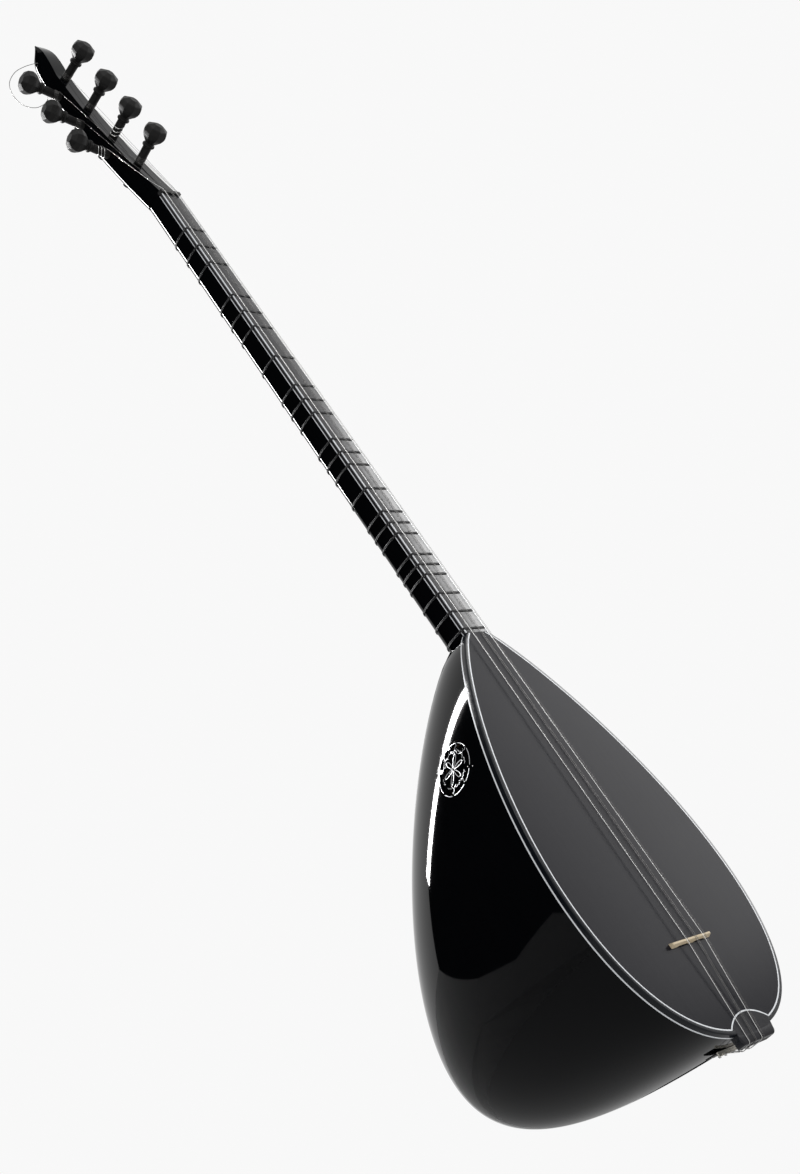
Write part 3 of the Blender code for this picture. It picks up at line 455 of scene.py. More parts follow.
def mirrored(points):
    return [Vector((-point.x, point.y)) for point in reversed(points)]


def splitSide(side, inside):
    # The side before and after the place where it stops being inside
    for k, (a, b) in enumerate(zip(side, side[1:])):
        if inside(a) and not inside(b):
            low, high = 0.0, 1.0
            for _ in range(40):
                middle = (low + high) / 2
                if inside(a.lerp(b, middle)):
                    low = middle
                else:
                    high = middle
            cut = a.lerp(b, low)
            return side[:k + 1] + [cut], [cut] + side[k + 1:]


moon = {"width": 0.0570, "rise": 0.0095, "chordZ": 0.0155}
moonRadius = ((moon["width"] / 2) ** 2 + moon["rise"] ** 2) / (2 * moon["rise"])
moonCentre = Vector((0, moon["chordZ"] - (moonRadius - moon["rise"])))


def moonArc(start, radius, steps=28):
    angle = math.atan2(start.y - moonCentre.y, start.x)
    turns = [angle + (math.pi - 2 * angle) * i / steps for i in range(1, steps)]
    return [Vector((radius * math.cos(turn), moonCentre.y + radius * math.sin(turn))) for turn in turns]


def outsideMoon(radius):
    return lambda point: (point - moonCentre).length > radius


def faceOutline(inset, radius):
    side, _ = splitSide(edgeSide(inset), outsideMoon(radius))
    return side + moonArc(side[-1], radius) + mirrored(side)


def plateMesh(name, outline, frontY, backY):
    def build(shape):
        loft(shape, [[(point.x, y, point.y) for point in outline] for y in (frontY, backY)])
    return meshFrom(name, build)


def sweepMesh(name, path, profile):
    # Carries a closed profile of (offset to the inside, y) along a flat path with mitred corners
    def build(shape):
        rings = []
        for before, point, after in zip(path[:1] + path, path, path[1:] + path[-1:]):
            first = point - before if (point - before).length > 1e-9 else after - point
            second = after - point if (after - point).length > 1e-9 else first
            first, second = first.normalized(), second.normalized()
            one, two = Vector((first.y, -first.x)), Vector((second.y, -second.x))
            across = (one + two).normalized()
            stretch = 1 / max(0.4, across.dot(one))
            rings.append([(point.x + across.x * d * stretch, y, point.y + across.y * d * stretch)
                          for d, y in profile])
        loft(shape, rings)
    return meshFrom(name, build)


# Bowl and rosette

rosette = {"height": 0.313, "angle": math.radians(14), "hole": 0.0250, "gap": 0.00025, "thickness": 0.0026,
           # Openings: middle radius, half length, half width and skew; the windows' outer and inner radii
           "petal": (0.0072, 0.0060, 0.0017, 0.35), "dart": (0.0128, 0.0030, 0.0026, 0.5),
           "window": (0.0221, 0.0181, 0.0011), "windowHalf": math.radians(26.5),
           "petalLine": 0.00024, "arcLine": 0.00027, "laceLine": 0.00019, "lineRise": 0.00005,
           "arcRadius": 0.0227,
           # Places round the rosette in degrees
           "arcs": ((24, 56), (64, 110), (120, 160), (170, 205), (215, 244), (252, 291), (299, 327),
                    (335, 376)),
           "branches": (20, 60, 115, 248, 295), "dots": (-29, 151), "dotRadii": (0.0205, 0.0268),
           # Routes as (radius, degrees): under each arc, and the fork of each branch
           "scallop": ((0.0160, -12), (0.0168, -6), (0.0157, 0), (0.0166, 6), (0.0156, 11)),
           "twigs": (((0.0222, 3), (0.0205, -1), (0.0186, 4), (0.0168, 3)),
                     ((0.0168, 3), (0.0150, 10), (0.0142, 18)), ((0.0168, 3), (0.0152, -7), (0.0138, -12))),
           "dotStep": 0.0005, "dotSizes": (0.00026, 0.00045, 0.00026), "longest": 0.0032}


def onBowl(point):
    # Below zero inside the bowl's outer skin
    u = (body["jointZ"] - point.z) / body["length"]
    for _ in range(4):
        u = (body["jointZ"] - point.z + body["lean"] * max(point.y - rimY, 0) * u ** 4) / body["length"]
    u = min(max(u, 1e-6), 1 - 1e-6)
    return (point.x / halfWidth(u)) ** 2 + ((point.y - rimY) / depthAt(u)) ** 2 - 1


def rosetteFrame():
    u = (body["jointZ"] - rosette["height"]) / body["length"]
    centre = Vector((-halfWidth(u) * math.cos(rosette["angle"]),
                     rimY + depthAt(u) * math.sin(rosette["angle"]), rosette["height"]))
    step = 0.0005
    out = Vector([onBowl(centre + d * step) - onBowl(centre - d * step)
                  for d in (Vector((1, 0, 0)), Vector((0, 1, 0)), Vector((0, 0, 1)))]).normalized()
    up = (Vector((0, 0, 1)) - out * out.z).normalized()
    place = Matrix((up.cross(out), up, out)).transposed().to_4x4()
    place.translation = centre
    return place


rosettePlace = rosetteFrame()


def surfaceHeight(x, y):
    # Height of the bowl's skin over the rosette's own plane
    out = rosettePlace.col[2].to_3d()
    base = rosettePlace @ Vector((x, y, 0))
    low, high = -0.02, 0.01
    for _ in range(26):
        middle = (low + high) / 2
        if onBowl(base + out * middle) > 0:
            high = middle
        else:
            low = middle
    return (low + high) / 2


def makeBowl(rings=132, steps=84):
    def build(shape):
        loops = []
        for i in range(rings):
            v = i / rings
            depth = depthAt(along(v))
            outer = halfRing(v, 0, rimY, depth, steps)
            inner = halfRing(v, body["rim"], ledgeY, depth - body["wall"] + rimY - ledgeY, steps)
            step = edgePoint(v, rebate)
            left = [Vector((-step.x, y, step.y)) for y in (rimY, ledgeY)]
            right = [Vector((step.x, y, step.y)) for y in (ledgeY, rimY)]
            loops.append(outer + left + inner[::-1] + right)
        last, n = loft(shape, loops, capEnd=False)[-1], steps + 1
        # The tail end closes as two half discs and three strips between them
        shape.faces.new(last[:n])
        shape.faces.new(last[n + 2:2 * n + 2])
        e = (last[0], last[n - 1], last[n], last[n + 1], last[n + 2], last[2 * n + 1], last[2 * n + 2],
             last[2 * n + 3])
        for corners in ((0, 1, 2, 7), (7, 2, 3, 6), (6, 3, 4, 5)):
            shape.faces.new([e[corner] for corner in corners])

    def drill(shape):
        bmesh.ops.create_cone(shape, cap_ends=True, segments=96, radius1=rosette["hole"],
                              radius2=rosette["hole"], depth=0.05)

    def innerFace(face):
        # Faces that look inwards are bare wood
        centre = face.center - Vector((0, faceY, 0))
        axis = Vector((0, rimY + 0.35 * body["depth"], 0.20))
        return centre.y > rimY + 0.001 and face.normal.dot(centre - axis) < 0 and onBowl(centre) < -0.02

    mesh = cutAway(meshFrom("bowlRough", build), [(meshFrom("holeCutter", drill), rosettePlace)])
    bowl = addPiece("bowlShell", mesh, "lacquer", replaces=("bowl",))
    secondFinish(bowl, "raw", innerFace)


def leaf(kind, turn, steps):
    middle, reach, half, skew = rosette[kind]
    return [(middle + reach * math.cos(t), half * math.sin(t) * (1 + skew * math.cos(t)), turn)
            for t in around(steps)]


def rosetteOpenings(rounds):
    # Outlines of the pierced openings, as (x, y) in the rosette's own plane
    openings = []
    for k in range(6):
        openings.append(leaf("petal", math.pi / 3 * k, rounds * 4))
        openings.append(leaf("dart", math.pi / 3 * k + math.pi / 6, rounds * 3))
    outer, inner, wave = rosette["window"]
    half = rosette["windowHalf"]
    shares = [2 * i / (rounds * 2) - 1 for i in range(rounds * 2 + 1)]
    for k in range(6):
        arc = [(outer, half * share) for share in shares]
        arc += [(inner + wave * math.cos(math.pi * share * 1.5), -half * 0.93 * share) for share in shares]
        openings.append([(r * math.cos(a), r * math.sin(a), math.pi / 3 * k) for r, a in arc])
    return [[(r * math.cos(t) - a * math.sin(t), r * math.sin(t) + a * math.cos(t)) for r, a, t in opening]
            for opening in openings]


def makeRosetteDisc(openings):
    radius = rosette["hole"] - rosette["gap"]
    curve = bpy.data.curves.new("rosetteFlat", "CURVE")
    curve.dimensions, curve.fill_mode = "2D", "BOTH"
    curve.extrude = rosette["thickness"] / 2
    rim = [(radius * math.cos(turn), radius * math.sin(turn)) for turn in around(96)]
    for outline in [rim] + openings:
        spline = curve.splines.new("POLY")
        spline.points.add(len(outline) - 1)
        for point, (x, y) in zip(spline.points, outline):
            point.co = (x, y, 0, 1)
        spline.use_cyclic_u = True
    flat = placed("rosetteFlat", curve)
    mesh = baked(flat)
    bpy.data.objects.remove(flat, do_unlink=True)
    shape = bmesh.new()
    shape.from_mesh(mesh)
    bmesh.ops.remove_doubles(shape, verts=shape.verts, dist=0.00001)
    for _ in range(3):
        # Long triangles are split, so that the disc can bend
        split = [e for e in shape.edges if e.calc_length() > rosette["longest"]]
        bmesh.ops.subdivide_edges(shape, edges=split, cuts=1)
        bmesh.ops.triangulate(shape, faces=[f for f in shape.faces if len(f.verts) > 3])
    for vertex in shape.verts:
        x, y, z = vertex.co
        vertex.co = rosettePlace @ Vector((x, y, z + surfaceHeight(x, y) - rosette["thickness"] / 2))
    bmesh.ops.recalc_face_normals(shape, faces=shape.faces)
    shape.to_mesh(mesh)
    shape.free()
    addPiece("rosetteDisc", mesh, "lacquer", replaces=("rosette",), smoothAngle=35)


def makeRosetteLines(petals):
    # Silver lines as painted highlights on the carving's cut edges: the petals' edges, a broken ring, and
    # branches between its arcs that fork inwards
    def onSurface(x, y):
        return rosettePlace @ Vector((x, y, surfaceHeight(x, y) + rosette["lineRise"]))

    def polar(route):
        return [onSurface(r * math.cos(math.radians(a)), r * math.sin(math.radians(a))) for r, a in route]

    petals = [[onSurface(x, y) for x, y in petal] for petal in petals]
    addPiece("rosettePetals", tubeMesh("rosettePetals", petals, [rosette["petalLine"]] * 6, 6, closed=True),
             "edgeHighlight")
    lace, radii = [], []
    for low, high in rosette["arcs"]:
        lace.append(polar([(rosette["arcRadius"], low + (high - low) * i / 10) for i in range(11)]))
        radii.append(rosette["arcLine"])
        middle = (low + high) / 2
        lace.append(polar([(r, middle + a) for r, a in rosette["scallop"]]))
        radii.append(rosette["laceLine"] * 0.85)
    for gap in rosette["branches"]:
        for twig in rosette["twigs"]:
            lace.append(polar([(r, gap + a) for r, a in twig]))
            radii.append(rosette["laceLine"])
    for r, a in [(r, a) for a in rosette["dots"] for r in rosette["dotRadii"]]:
        lace.append(polar([(r + move * rosette["dotStep"], a) for move in (-1, 0, 1)]))
        radii.append(list(rosette["dotSizes"]))
    addPiece("rosetteLace", tubeMesh("rosetteLace", lace, radii, 6), "edgeHighlight")


openings = rosetteOpenings(7)
makeBowl()
makeRosetteDisc(openings)
makeRosetteLines(openings[:12:2])
print("bowl and rosette made")


# Soundboard, binding and lines

def makeFace():
    outline = faceOutline(rebate + edge["line"] + edge["spread"], moonRadius + edge["line"] + edge["gap"])
    addPiece("soundboardPlate", plateMesh("soundboardPlate", outline, 0, edge["board"]), "board",
             replaces=("soundboard",), smoothAngle=30)

    # The line stands a hair proud on both sides of its groove
    path = faceOutline(rebate, moonRadius + edge["gap"])
    low, high = -edge["spread"], edge["line"] + edge["spread"]
    front, back = -edge["proud"], edge["lineDepth"]
    profile = [(low, back), (low, front), (high, front), (high, back)]
    addPiece("faceLine", sweepMesh("faceLine", path, profile), "white", replaces=("face_line",),
             smoothAngle=30)
    side = edgeSide(0.0)
    rim = side + mirrored(side[:-1])
    h, w, r = edge["bindingHeight"], edge["binding"] + edge["tuck"], edge["bindingRound"]
    profile = [(w, h), (0, h)] + [(r - r * math.cos(a), r - r * math.sin(a)) for a in quarter(6)] + [(w, 0)]
    addPiece("bindingStrip", sweepMesh("bindingStrip", rim, profile), "binding", replaces=("binding",),
             smoothAngle=30)
    front, back = sideLineY - edge["tuck"], sideLineY + edge["sideLine"] + edge["spread"]
    out = -edge["sideProud"]
    profile = [(w, back), (out, back), (out, front), (w, front)]
    addPiece("sideLine", sweepMesh("sideLine", rim, profile), "white", replaces=("side_line",),
             smoothAngle=30)
    _, end = splitSide(edgeSide(rebate), outsideMoon(moonRadius))
    outline = end + mirrored(end[:-1]) + moonArc(end[0], moonRadius)[::-1]
    addPiece("halfMoonPlate", plateMesh("halfMoonPlate", outline, 0, edge["board"]), "tail",
             replaces=("half_moon",), smoothAngle=30)


makeFace()


# Tail

tail = {"width": 0.0560, "depth": 0.0160, "sideDepth": 0.0078, "backWidth": 0.0260, "corner": 0.0050,
        "round": 0.0024, "sharp": 0.00005, "chamfer": 0.0006}
skin = {"overlap": 0.0009, "front": -0.00008, "back": 0.00020}
anchor = {"x": -0.0065, "y": 0.0270, "plate": 0.0012, "height": 0.0130, "gap": 0.0003, "lip": 0.0074,
          "lipCut": 0.0022, "lipStart": 0.0050}
screw = {"radius": 0.0021, "spread": 0.0105, "place": 0.62, "turn": 0.7, "head": 0.00075, "rim": 0.0002,
         "dome": 0.00055, "slot": 0.00055, "slotDepth": 0.0007, "slotHeight": 0.0009}


def cadObject(node):
    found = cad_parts[node]
    return found if isinstance(found, bpy.types.Object) else bpy.data.objects[found]


def tailWallZ(y):
    return body["endZ"] + body["lean"] * (y - rimY)


def blockDepth(x):
    # The block's back corners are cut away
    share = (abs(x) - tail["backWidth"] / 2) / (tail["width"] / 2 - tail["backWidth"] / 2)
    return tail["depth"] - (tail["depth"] - tail["sideDepth"]) * max(0.0, share)


def blockOutline():
    half, corner = tail["width"] / 2, tail["corner"]
    _, end = splitSide(edgeSide(-0.0003), lambda p: p.x > half)
    outline = end + mirrored(end[:-1])
    for side in (-1, 1):
        for angle in quarter(8) if side < 0 else reversed(quarter(8)):
            outline.append(Vector((side * (half - corner + corner * math.cos(angle)),
                                   corner - corner * math.sin(angle))))
    area = sum(a.x * b.y - b.x * a.y for a, b in zip(outline, outline[1:] + outline[:1]))
    return outline if area > 0 else outline[::-1]


def makeBlock():
    outline = blockOutline()
    inward = [(after - before).normalized() for before, after in zip(outline[-1:] + outline,
                                                                     outline[1:] + outline[:1])]
    inward = [Vector((-ahead.y, ahead.x)) for ahead in inward]

    def build(shape):
        # The edge is rounded where the outline is low, and nearly sharp against the half-moon
        sizes = [tail["round"] if point.y < tail["corner"] + 0.0002 else tail["sharp"] for point in outline]
        rings = []
        for a in quarter(6):
            rings.append([(p.x + n.x * size * (1 - math.sin(a)), size * (1 - math.cos(a)),
                           p.y + n.y * size * (1 - math.sin(a)))
                          for p, n, size in zip(outline, inward, sizes)])
        for move, short in ((0.0, tail["chamfer"]), (tail["chamfer"], 0.0)):
            rings.append([(p.x + n.x * move, blockDepth(p.x) - short, p.y + n.y * move)
                          for p, n in zip(outline, inward)])
        loft(shape, rings)

    block = addPiece("tailBlock", meshFrom("tailBlock", build), "tail", replaces=("tail_block",),
                     smoothAngle=50)
    secondFinish(block, "binding", lambda face: face.normal.y >= -0.55)


def makeTailSkin():
    # A thin skin carries the half-moon's face across the binding on to the block
    half = tail["width"] / 2
    _, outer = splitSide(edgeSide(-skin["overlap"]), lambda p: p.x > half - 0.0002)
    _, inner = splitSide(edgeSide(rebate + skin["overlap"]), lambda p: p.x > half - 0.0010)
    outline = outer + mirrored(outer[:-1]) + (inner + mirrored(inner[:-1]))[::-1]
    addPiece("tailSkin", plateMesh("tailSkin", outline, skin["front"], skin["back"]), "tail",
             smoothAngle=30)


def makeAnchor():
    # The slotted string anchor is the part's own shape with a shorter lip: bright, on a dark leg
    source = cadObject("string_anchor")
    mesh = source.data.copy()
    mesh.transform(source.matrix_world)
    for vertex in mesh.vertices:
        if vertex.co.z < tailWallZ(anchor["y"]) - anchor["lipStart"]:
            vertex.co.z += anchor["lipCut"]
    piece = addPiece("stringAnchor", mesh, "plate", shift=False, replaces=("string_anchor",),
                     smoothAngle=30)
    legY = anchor["y"] + faceY + anchor["plate"] + 0.0005
    secondFinish(piece, "nut", lambda face: face.center.y > legY)


def makeScrew(index, x):
    radius = screw["radius"]

    def head(shape):
        profile = [(radius * math.sin(a), screw["rim"] + screw["dome"] * math.cos(a))
                   for a in (0.5, 0.9, 1.25, math.pi / 2)] + [(radius, 0.0)]
        rows = [[shape.verts.new((r * math.cos(turn), r * math.sin(turn), z)) for r, z in profile]
                for turn in around(28)]
        top = shape.verts.new((0, 0, screw["head"]))
        for a, b in zip(rows, rows[1:] + rows[:1]):
            shape.faces.new((top, a[0], b[0]))
            for i in range(len(a) - 1):
                shape.faces.new((a[i], a[i + 1], b[i + 1], b[i]))
        shape.faces.new([row[-1] for row in rows])

    def slotShape(shape):
        bmesh.ops.create_cube(shape, size=1)
        bmesh.ops.scale(shape, verts=shape.verts, vec=(radius * 3, screw["slot"], screw["slotDepth"]))
        bmesh.ops.translate(shape, verts=shape.verts, vec=(0, 0, screw["slotHeight"]))

    mesh = cutAway(meshFrom("screwRough", head), [(meshFrom("slotCutter", slotShape), Matrix())])
    y = anchor["y"] + anchor["height"] * screw["place"]
    place = Matrix.Translation((x, y + faceY, tailWallZ(y) - anchor["gap"] - anchor["plate"])) \
        @ Matrix.Rotation(math.pi + math.atan(body["lean"]), 4, "X")
    mesh.transform(place @ Matrix.Rotation(screw["turn"] + index, 4, "Z"))
    addPiece("anchorScrew%d" % (index + 1), mesh, "dull", shift=False, smoothAngle=35)


makeBlock()
makeTailSkin()
makeAnchor()
for index, side in enumerate((-1, 1)):
    makeScrew(index, anchor["x"] + side * screw["spread"])
print("soundboard, lines and tail made")


# Neck

neck = {"topZ": 0.9792, "nutZ": 0.975, "widthNut": 0.0240, "depthNut": 0.0275, "square": 2.5,
        "lineWidth": 0.0007, "lineDepth": 0.0008, "proud": 0.00005, "fingerboard": 0.0040, "gap": 0.0003,
        "edgeRound": 0.0005, "endGap": 0.0001}
nut = {"thickness": 0.0036, "height": 0.0022}
neckTopY = neck["fingerboard"] + neck["gap"]


def neckShare(z):
    return (z - body["jointZ"]) / (neck["nutZ"] - body["jointZ"])


def neckHalf(z):
    return (body["neckWidth"] + (neck["widthNut"] - body["neckWidth"]) * neckShare(z)) / 2


def neckDepth(z):
    return body["neckDepth"] + (neck["depthNut"] - body["neckDepth"]) * neckShare(z)


def roundedBack(half, topY, depth, square, steps, out=0.0):
    # Half of a squared oval, from the right edge round the back to the left
    points = []
    for i in range(steps + 1):
        angle = math.pi * i / steps
        c, s = math.cos(angle), math.sin(angle)
        points.append(((half + out) * math.copysign(abs(c) ** (2 / square), c),
                       topY + (depth + out) * max(s, 0.0) ** (2 / square)))
    return points


def makeNeck():
    def back(shape):
        rings = []
        for k in range(9):
            z = body["jointZ"] + neck["endGap"]
            z += (neck["topZ"] - body["jointZ"] - 2 * neck["endGap"]) * k / 8
            section = roundedBack(neckHalf(z), neckTopY, neckDepth(z) - neckTopY, neck["square"], 56)
            rings.append([(x, y, z) for x, y in section])
        loft(shape, rings)

    def fingerboard(shape):
        rings = []
        r, eased = neck["edgeRound"], (0, 0.5, 1.05, math.pi / 2)
        for z in (body["jointZ"] + neck["endGap"], neck["nutZ"] - neck["endGap"]):
            half = neckHalf(z)
            ring = [(-half, neck["fingerboard"]), (half, neck["fingerboard"])]
            ring += [(half - r + r * math.cos(a), r - r * math.sin(a)) for a in eased]
            ring += [(-half + r - r * math.cos(a), r - r * math.sin(a)) for a in reversed(eased)]
            rings.append([(x, y, z) for x, y in ring])
        loft(shape, rings)

    def strips(shape):
        # White lines along the fingerboard's top corners and along its seam with the neck
        for side in (-1, 1):
            for low, high in ((0.0002, 0.0002 + neck["lineWidth"]),
                              (neck["fingerboard"] - 0.0001, neck["fingerboard"] + neck["lineWidth"])):
                rings = []
                for z in (body["jointZ"] + 2 * neck["endGap"], neck["nutZ"] - 2 * neck["endGap"]):
                    half = neckHalf(z)
                    inner, outer = half - neck["lineDepth"], half + neck["proud"]
                    ring = [(inner, low), (outer, low), (outer, high), (inner, high)]
                    if low < 0.001:
                        ring[0:2] = [(inner, -neck["proud"]), (half - 0.0001, -0.00004), (outer, 0.00015)]
                    rings.append([(side * x, y, z) for x, y in ring])
                loft(shape, rings)

    addPiece("neckBack", meshFrom("neckBack", back), "lacquer", replaces=("neck",),
             smoothAngle=50)
    addPiece("fingerboardPlate", meshFrom("fingerboardPlate", fingerboard), "fingerboard",
             replaces=("fingerboard",), smoothAngle=30)
    addPiece("neckLines", meshFrom("neckLines", strips), "white", smoothAngle=30)


makeNeck()


# Headstock

head = {"rake": 0.20, "curve": 0.40, "flat": 0.200, "widthTop": 0.0190, "depthNut": 0.0262,
        "depthTop": 0.0228, "square": 2.8, "nutGap": 0.0006,
        # The tip's sections: rise, front, back and half width
        "tip": ((0.2080, 0.0230, 0.0469, 0.0094), (0.2170, 0.0222, 0.0468, 0.0092),
                (0.2260, 0.0218, 0.0460, 0.0089), (0.2330, 0.0220, 0.0442, 0.0085),
                (0.2380, 0.0228, 0.0416, 0.0081), (0.2430, 0.0242, 0.0355, 0.0075),
                (0.2470, 0.0260, 0.0302, 0.0070), (0.2495, 0.0272, 0.0286, 0.0064))}
pegs = {"front": (0.0550, 0.1010, 0.1480, 0.1960), "side": (0.0850, 0.1340, 0.1810), "sideDepth": 0.0128,
        "lift": math.radians(20), "radius": 0.0044, "taper": 0.030, "gap": 0.0003, "shoulder": 0.0200,
        "headLength": 0.0245, "headRadius": 0.0124, "tail": 0.0020, "chamfer": 0.0006,
        # Collar: share of the peg's radius, height over the shoulder and how eight-sided
        "collar": ((1.03, -0.0010, 0), (1.18, -0.0004, 0), (1.36, 0.0002, 0), (1.44, 0.0010, 0),
                   (1.44, 0.0020, 0), (1.36, 0.0028, 0), (1.12, 0.0034, 0.3), (1.10, 0.0042, 0.7)),
        # Head: share of its radius, share of its length and how eight-sided
        "knob": ((0.50, 0.22, 1), (0.64, 0.30, 1), (0.82, 0.40, 1), (0.95, 0.53, 1), (1, 0.63, 1),
                 (0.99, 0.70, 1), (0.90, 0.855, 1), (0.84, 0.885, 1), (0.46, 0.985, 1), (0.38, 1, 0.6))}
pegList = [(kind, i, h) for kind in ("front", "side") for i, h in enumerate(pegs[kind])]


def headFront(h):
    return head["rake"] * h - head["curve"] * h * h


def headHalf(h):
    return (neck["widthNut"] + (head["widthTop"] - neck["widthNut"]) * h / head["flat"]) / 2


def headDepth(h):
    return head["depthNut"] + (head["depthTop"] - head["depthNut"]) * h / head["flat"]


def pegFrame(kind, h):
    # The peg points along z, and its string comes on along x
    if kind == "front":
        slope = math.atan(head["rake"] - 2 * head["curve"] * h)
        out, lead = Vector((0, -math.cos(slope), math.sin(slope))), Vector((1, 0, 0))
        origin = Vector((0, headFront(h), neck["nutZ"] + h))
    else:
        out, lead = Vector((-math.cos(pegs["lift"]), 0, math.sin(pegs["lift"]))), Vector((0, -1, 0))
        origin = Vector((-headHalf(h), headFront(h) + pegs["sideDepth"], neck["nutZ"] + h))
    lead = (lead - out * lead.dot(out)).normalized()
    place = Matrix((lead, out.cross(lead), out)).transposed().to_4x4()
    place.translation = origin + Vector((0, faceY, 0))
    return place


def pegAcross(kind, h):
    # How far a peg goes through the head
    return headDepth(h) if kind == "front" else 2 * headHalf(h) / math.cos(pegs["lift"])


def pegHole(reach, over=0.008):
    def build(shape):
        bmesh.ops.create_cone(shape, cap_ends=True, segments=32, depth=reach + over,
                              radius1=pegs["radius"] - pegs["taper"] * reach + pegs["gap"],
                              radius2=pegs["radius"] + pegs["taper"] * over + pegs["gap"])
        bmesh.ops.translate(shape, verts=shape.verts, vec=(0, 0, (over - reach) / 2))
    return meshFrom("pegHole", build)


def makeHeadstock():
    # Straight up to the flat's end, then a forward swell that closes to a chisel tip
    base = nut["thickness"] + head["nutGap"]
    heights = [base + (head["flat"] - base) * i / 14 for i in range(15)]
    sections = [(h, headFront(h), headDepth(h), headHalf(h)) for h in heights]
    sections += [(h, front, back - front, half) for h, front, back, half in head["tip"]]

    def build(shape):
        rings = []
        for h, front, depth, half in sections:
            back = roundedBack(half, front + depth * 0.42, depth * 0.58, head["square"], 22)
            rings.append([(x, y, neck["nutZ"] + h) for x, y in [(-half, front), (half, front)] + back])
        loft(shape, rings)

    unmoved = Matrix.Translation((0, -faceY, 0))
    holes = [(pegHole(pegAcross(kind, h) + 0.006), unmoved @ pegFrame(kind, h)) for kind, _, h in pegList]
    addPiece("headstockBody", cutAway(meshFrom("headRough", build), holes), "lacquer",
             replaces=("headstock",), smoothAngle=30)


makeHeadstock()
print("neck and headstock made")


# Pegs

def octagonShare(turn):
    # Distance to the flat of an octagon, with its corners eased
    eighth = math.pi / 8
    local = (turn + eighth) % (2 * eighth) - eighth
    return min(math.cos(eighth) / math.cos(local), 0.975 + 0.02 * abs(local) / eighth)


def makePeg(kind, index, h):
    name = "%s_peg_%d" % (kind, index + 1)
    reach = pegAcross(kind, h) + pegs["tail"]
    r, shoulder, chamfer = pegs["radius"], pegs["shoulder"], pegs["chamfer"]
    thin = r - pegs["taper"] * reach
    profile = [(thin - chamfer, -reach, 0), (thin, -reach + chamfer, 0),
               (r - pegs["taper"] * reach * 0.5, -reach / 2, 0), (r, 0.0, 0), (r * 1.01, shoulder * 0.5, 0)]
    profile += [(r * wide, shoulder + rise, facet) for wide, rise, facet in pegs["collar"]]
    profile += [(pegs["headRadius"] * wide, shoulder + pegs["headLength"] * rise, facet)
                for wide, rise, facet in pegs["knob"]]

    def build(shape):
        circle = [(math.cos(turn), math.sin(turn), octagonShare(turn)) for turn in around(64)]
        loft(shape, [[(radius * (1 - facet + facet * flat) * c, radius * (1 - facet + facet * flat) * s, z)
                      for c, s, flat in circle] for radius, z, facet in profile])

    piece = addPiece("%sPeg%d" % (kind, index + 1), meshFrom(name + "Visual", build), "peg", carrier=name,
                     shift=False, replaces=(name,), smoothAngle=16)
    piece.matrix_world = pegFrame(kind, h)


for kind, index, h in pegList:
    makePeg(kind, index, h)
print("pegs made")


# Strings and their turns on the pegs

strings = {"radii": (0.00024, 0.00016, 0.00019, 0.00022, 0.00024, 0.00016, 0.00014),
           "nutX": (-0.0095, -0.0080, -0.0010, 0.0010, 0.0072, 0.0086, 0.0100),
           "bridgeX": (-0.0150, -0.0132, -0.0012, 0.0010, 0.0112, 0.0130, 0.0148),
           "tailX": (-0.0186, -0.0168, -0.0090, -0.0072, 0.0022, 0.0042, 0.0062),
           "clear": 0.0001, "wound": (0, 4),
           # How far a string reaches behind and before its slot, and its loop: width, wave and height
           "behind": 0.0016, "before": 0.0012, "loop": (0.0007, 0.0003, 0.0010),
           # The peg of each string, and where the side pegs' strings bend over the head's edge
           "pegs": (4, 5, 6, 0, 1, 2, 3), "bends": {0: 0.022, 1: 0.055, 2: 0.112}}
# The turns on each peg
windings = {"start": 0.0024, "lift": 1.012, "turns": (4, 3, 4, 4, 3, 4, 4), "clean": (1, 4),
            "pitch": (0.0016, 0.0044, 0.0014, 0.0015, 0.0036, 0.0015, 0.0013),
            # The share of a turn where it climbs, how far out the string comes on, and how thick turns look
            "climbFrom": 0.62, "climbOver": 0.26, "meeting": 3.4, "cleanThick": 1.25, "dullThick": 1.1}
bridge = {"x": -0.0060, "z": 0.095, "length": 0.0600, "height": 0.0044, "thickness": 0.0046, "tip": 0.0034,
          "tipLength": 0.0018, "foot": 0.0080, "arch": 0.0013, "under": -0.0002, "chamfer": 0.00022,
          "thin": 0.62, "notch": 0.00028}
looseRadius = 0.00034
looseEnd = ((-0.0191, 0.0416, 1.1596), (-0.0186, 0.0434, 1.1582), (-0.0182, 0.0466, 1.1576),
            (-0.0180, 0.0525, 1.1598), (-0.0180, 0.0606, 1.1651), (-0.0180, 0.0689, 1.1760),
            (-0.0180, 0.0742, 1.1889), (-0.0180, 0.0754, 1.2018), (-0.0180, 0.0728, 1.2118),
            (-0.0178, 0.0674, 1.2162), (-0.0170, 0.0575, 1.2168), (-0.0145, 0.0470, 1.2130),
            (-0.0108, 0.0385, 1.2085), (-0.0080, 0.0345, 1.2060))


def stringMeeting(index, radius):
    # Where a string runs on to the turns round its peg
    kind, _, h = pegList[strings["pegs"][index]]
    out = pegs["radius"] * windings["lift"] + radius * windings["meeting"]
    return pegFrame(kind, h) @ Vector((out, 0, windings["start"])) - Vector((0, faceY, 0))


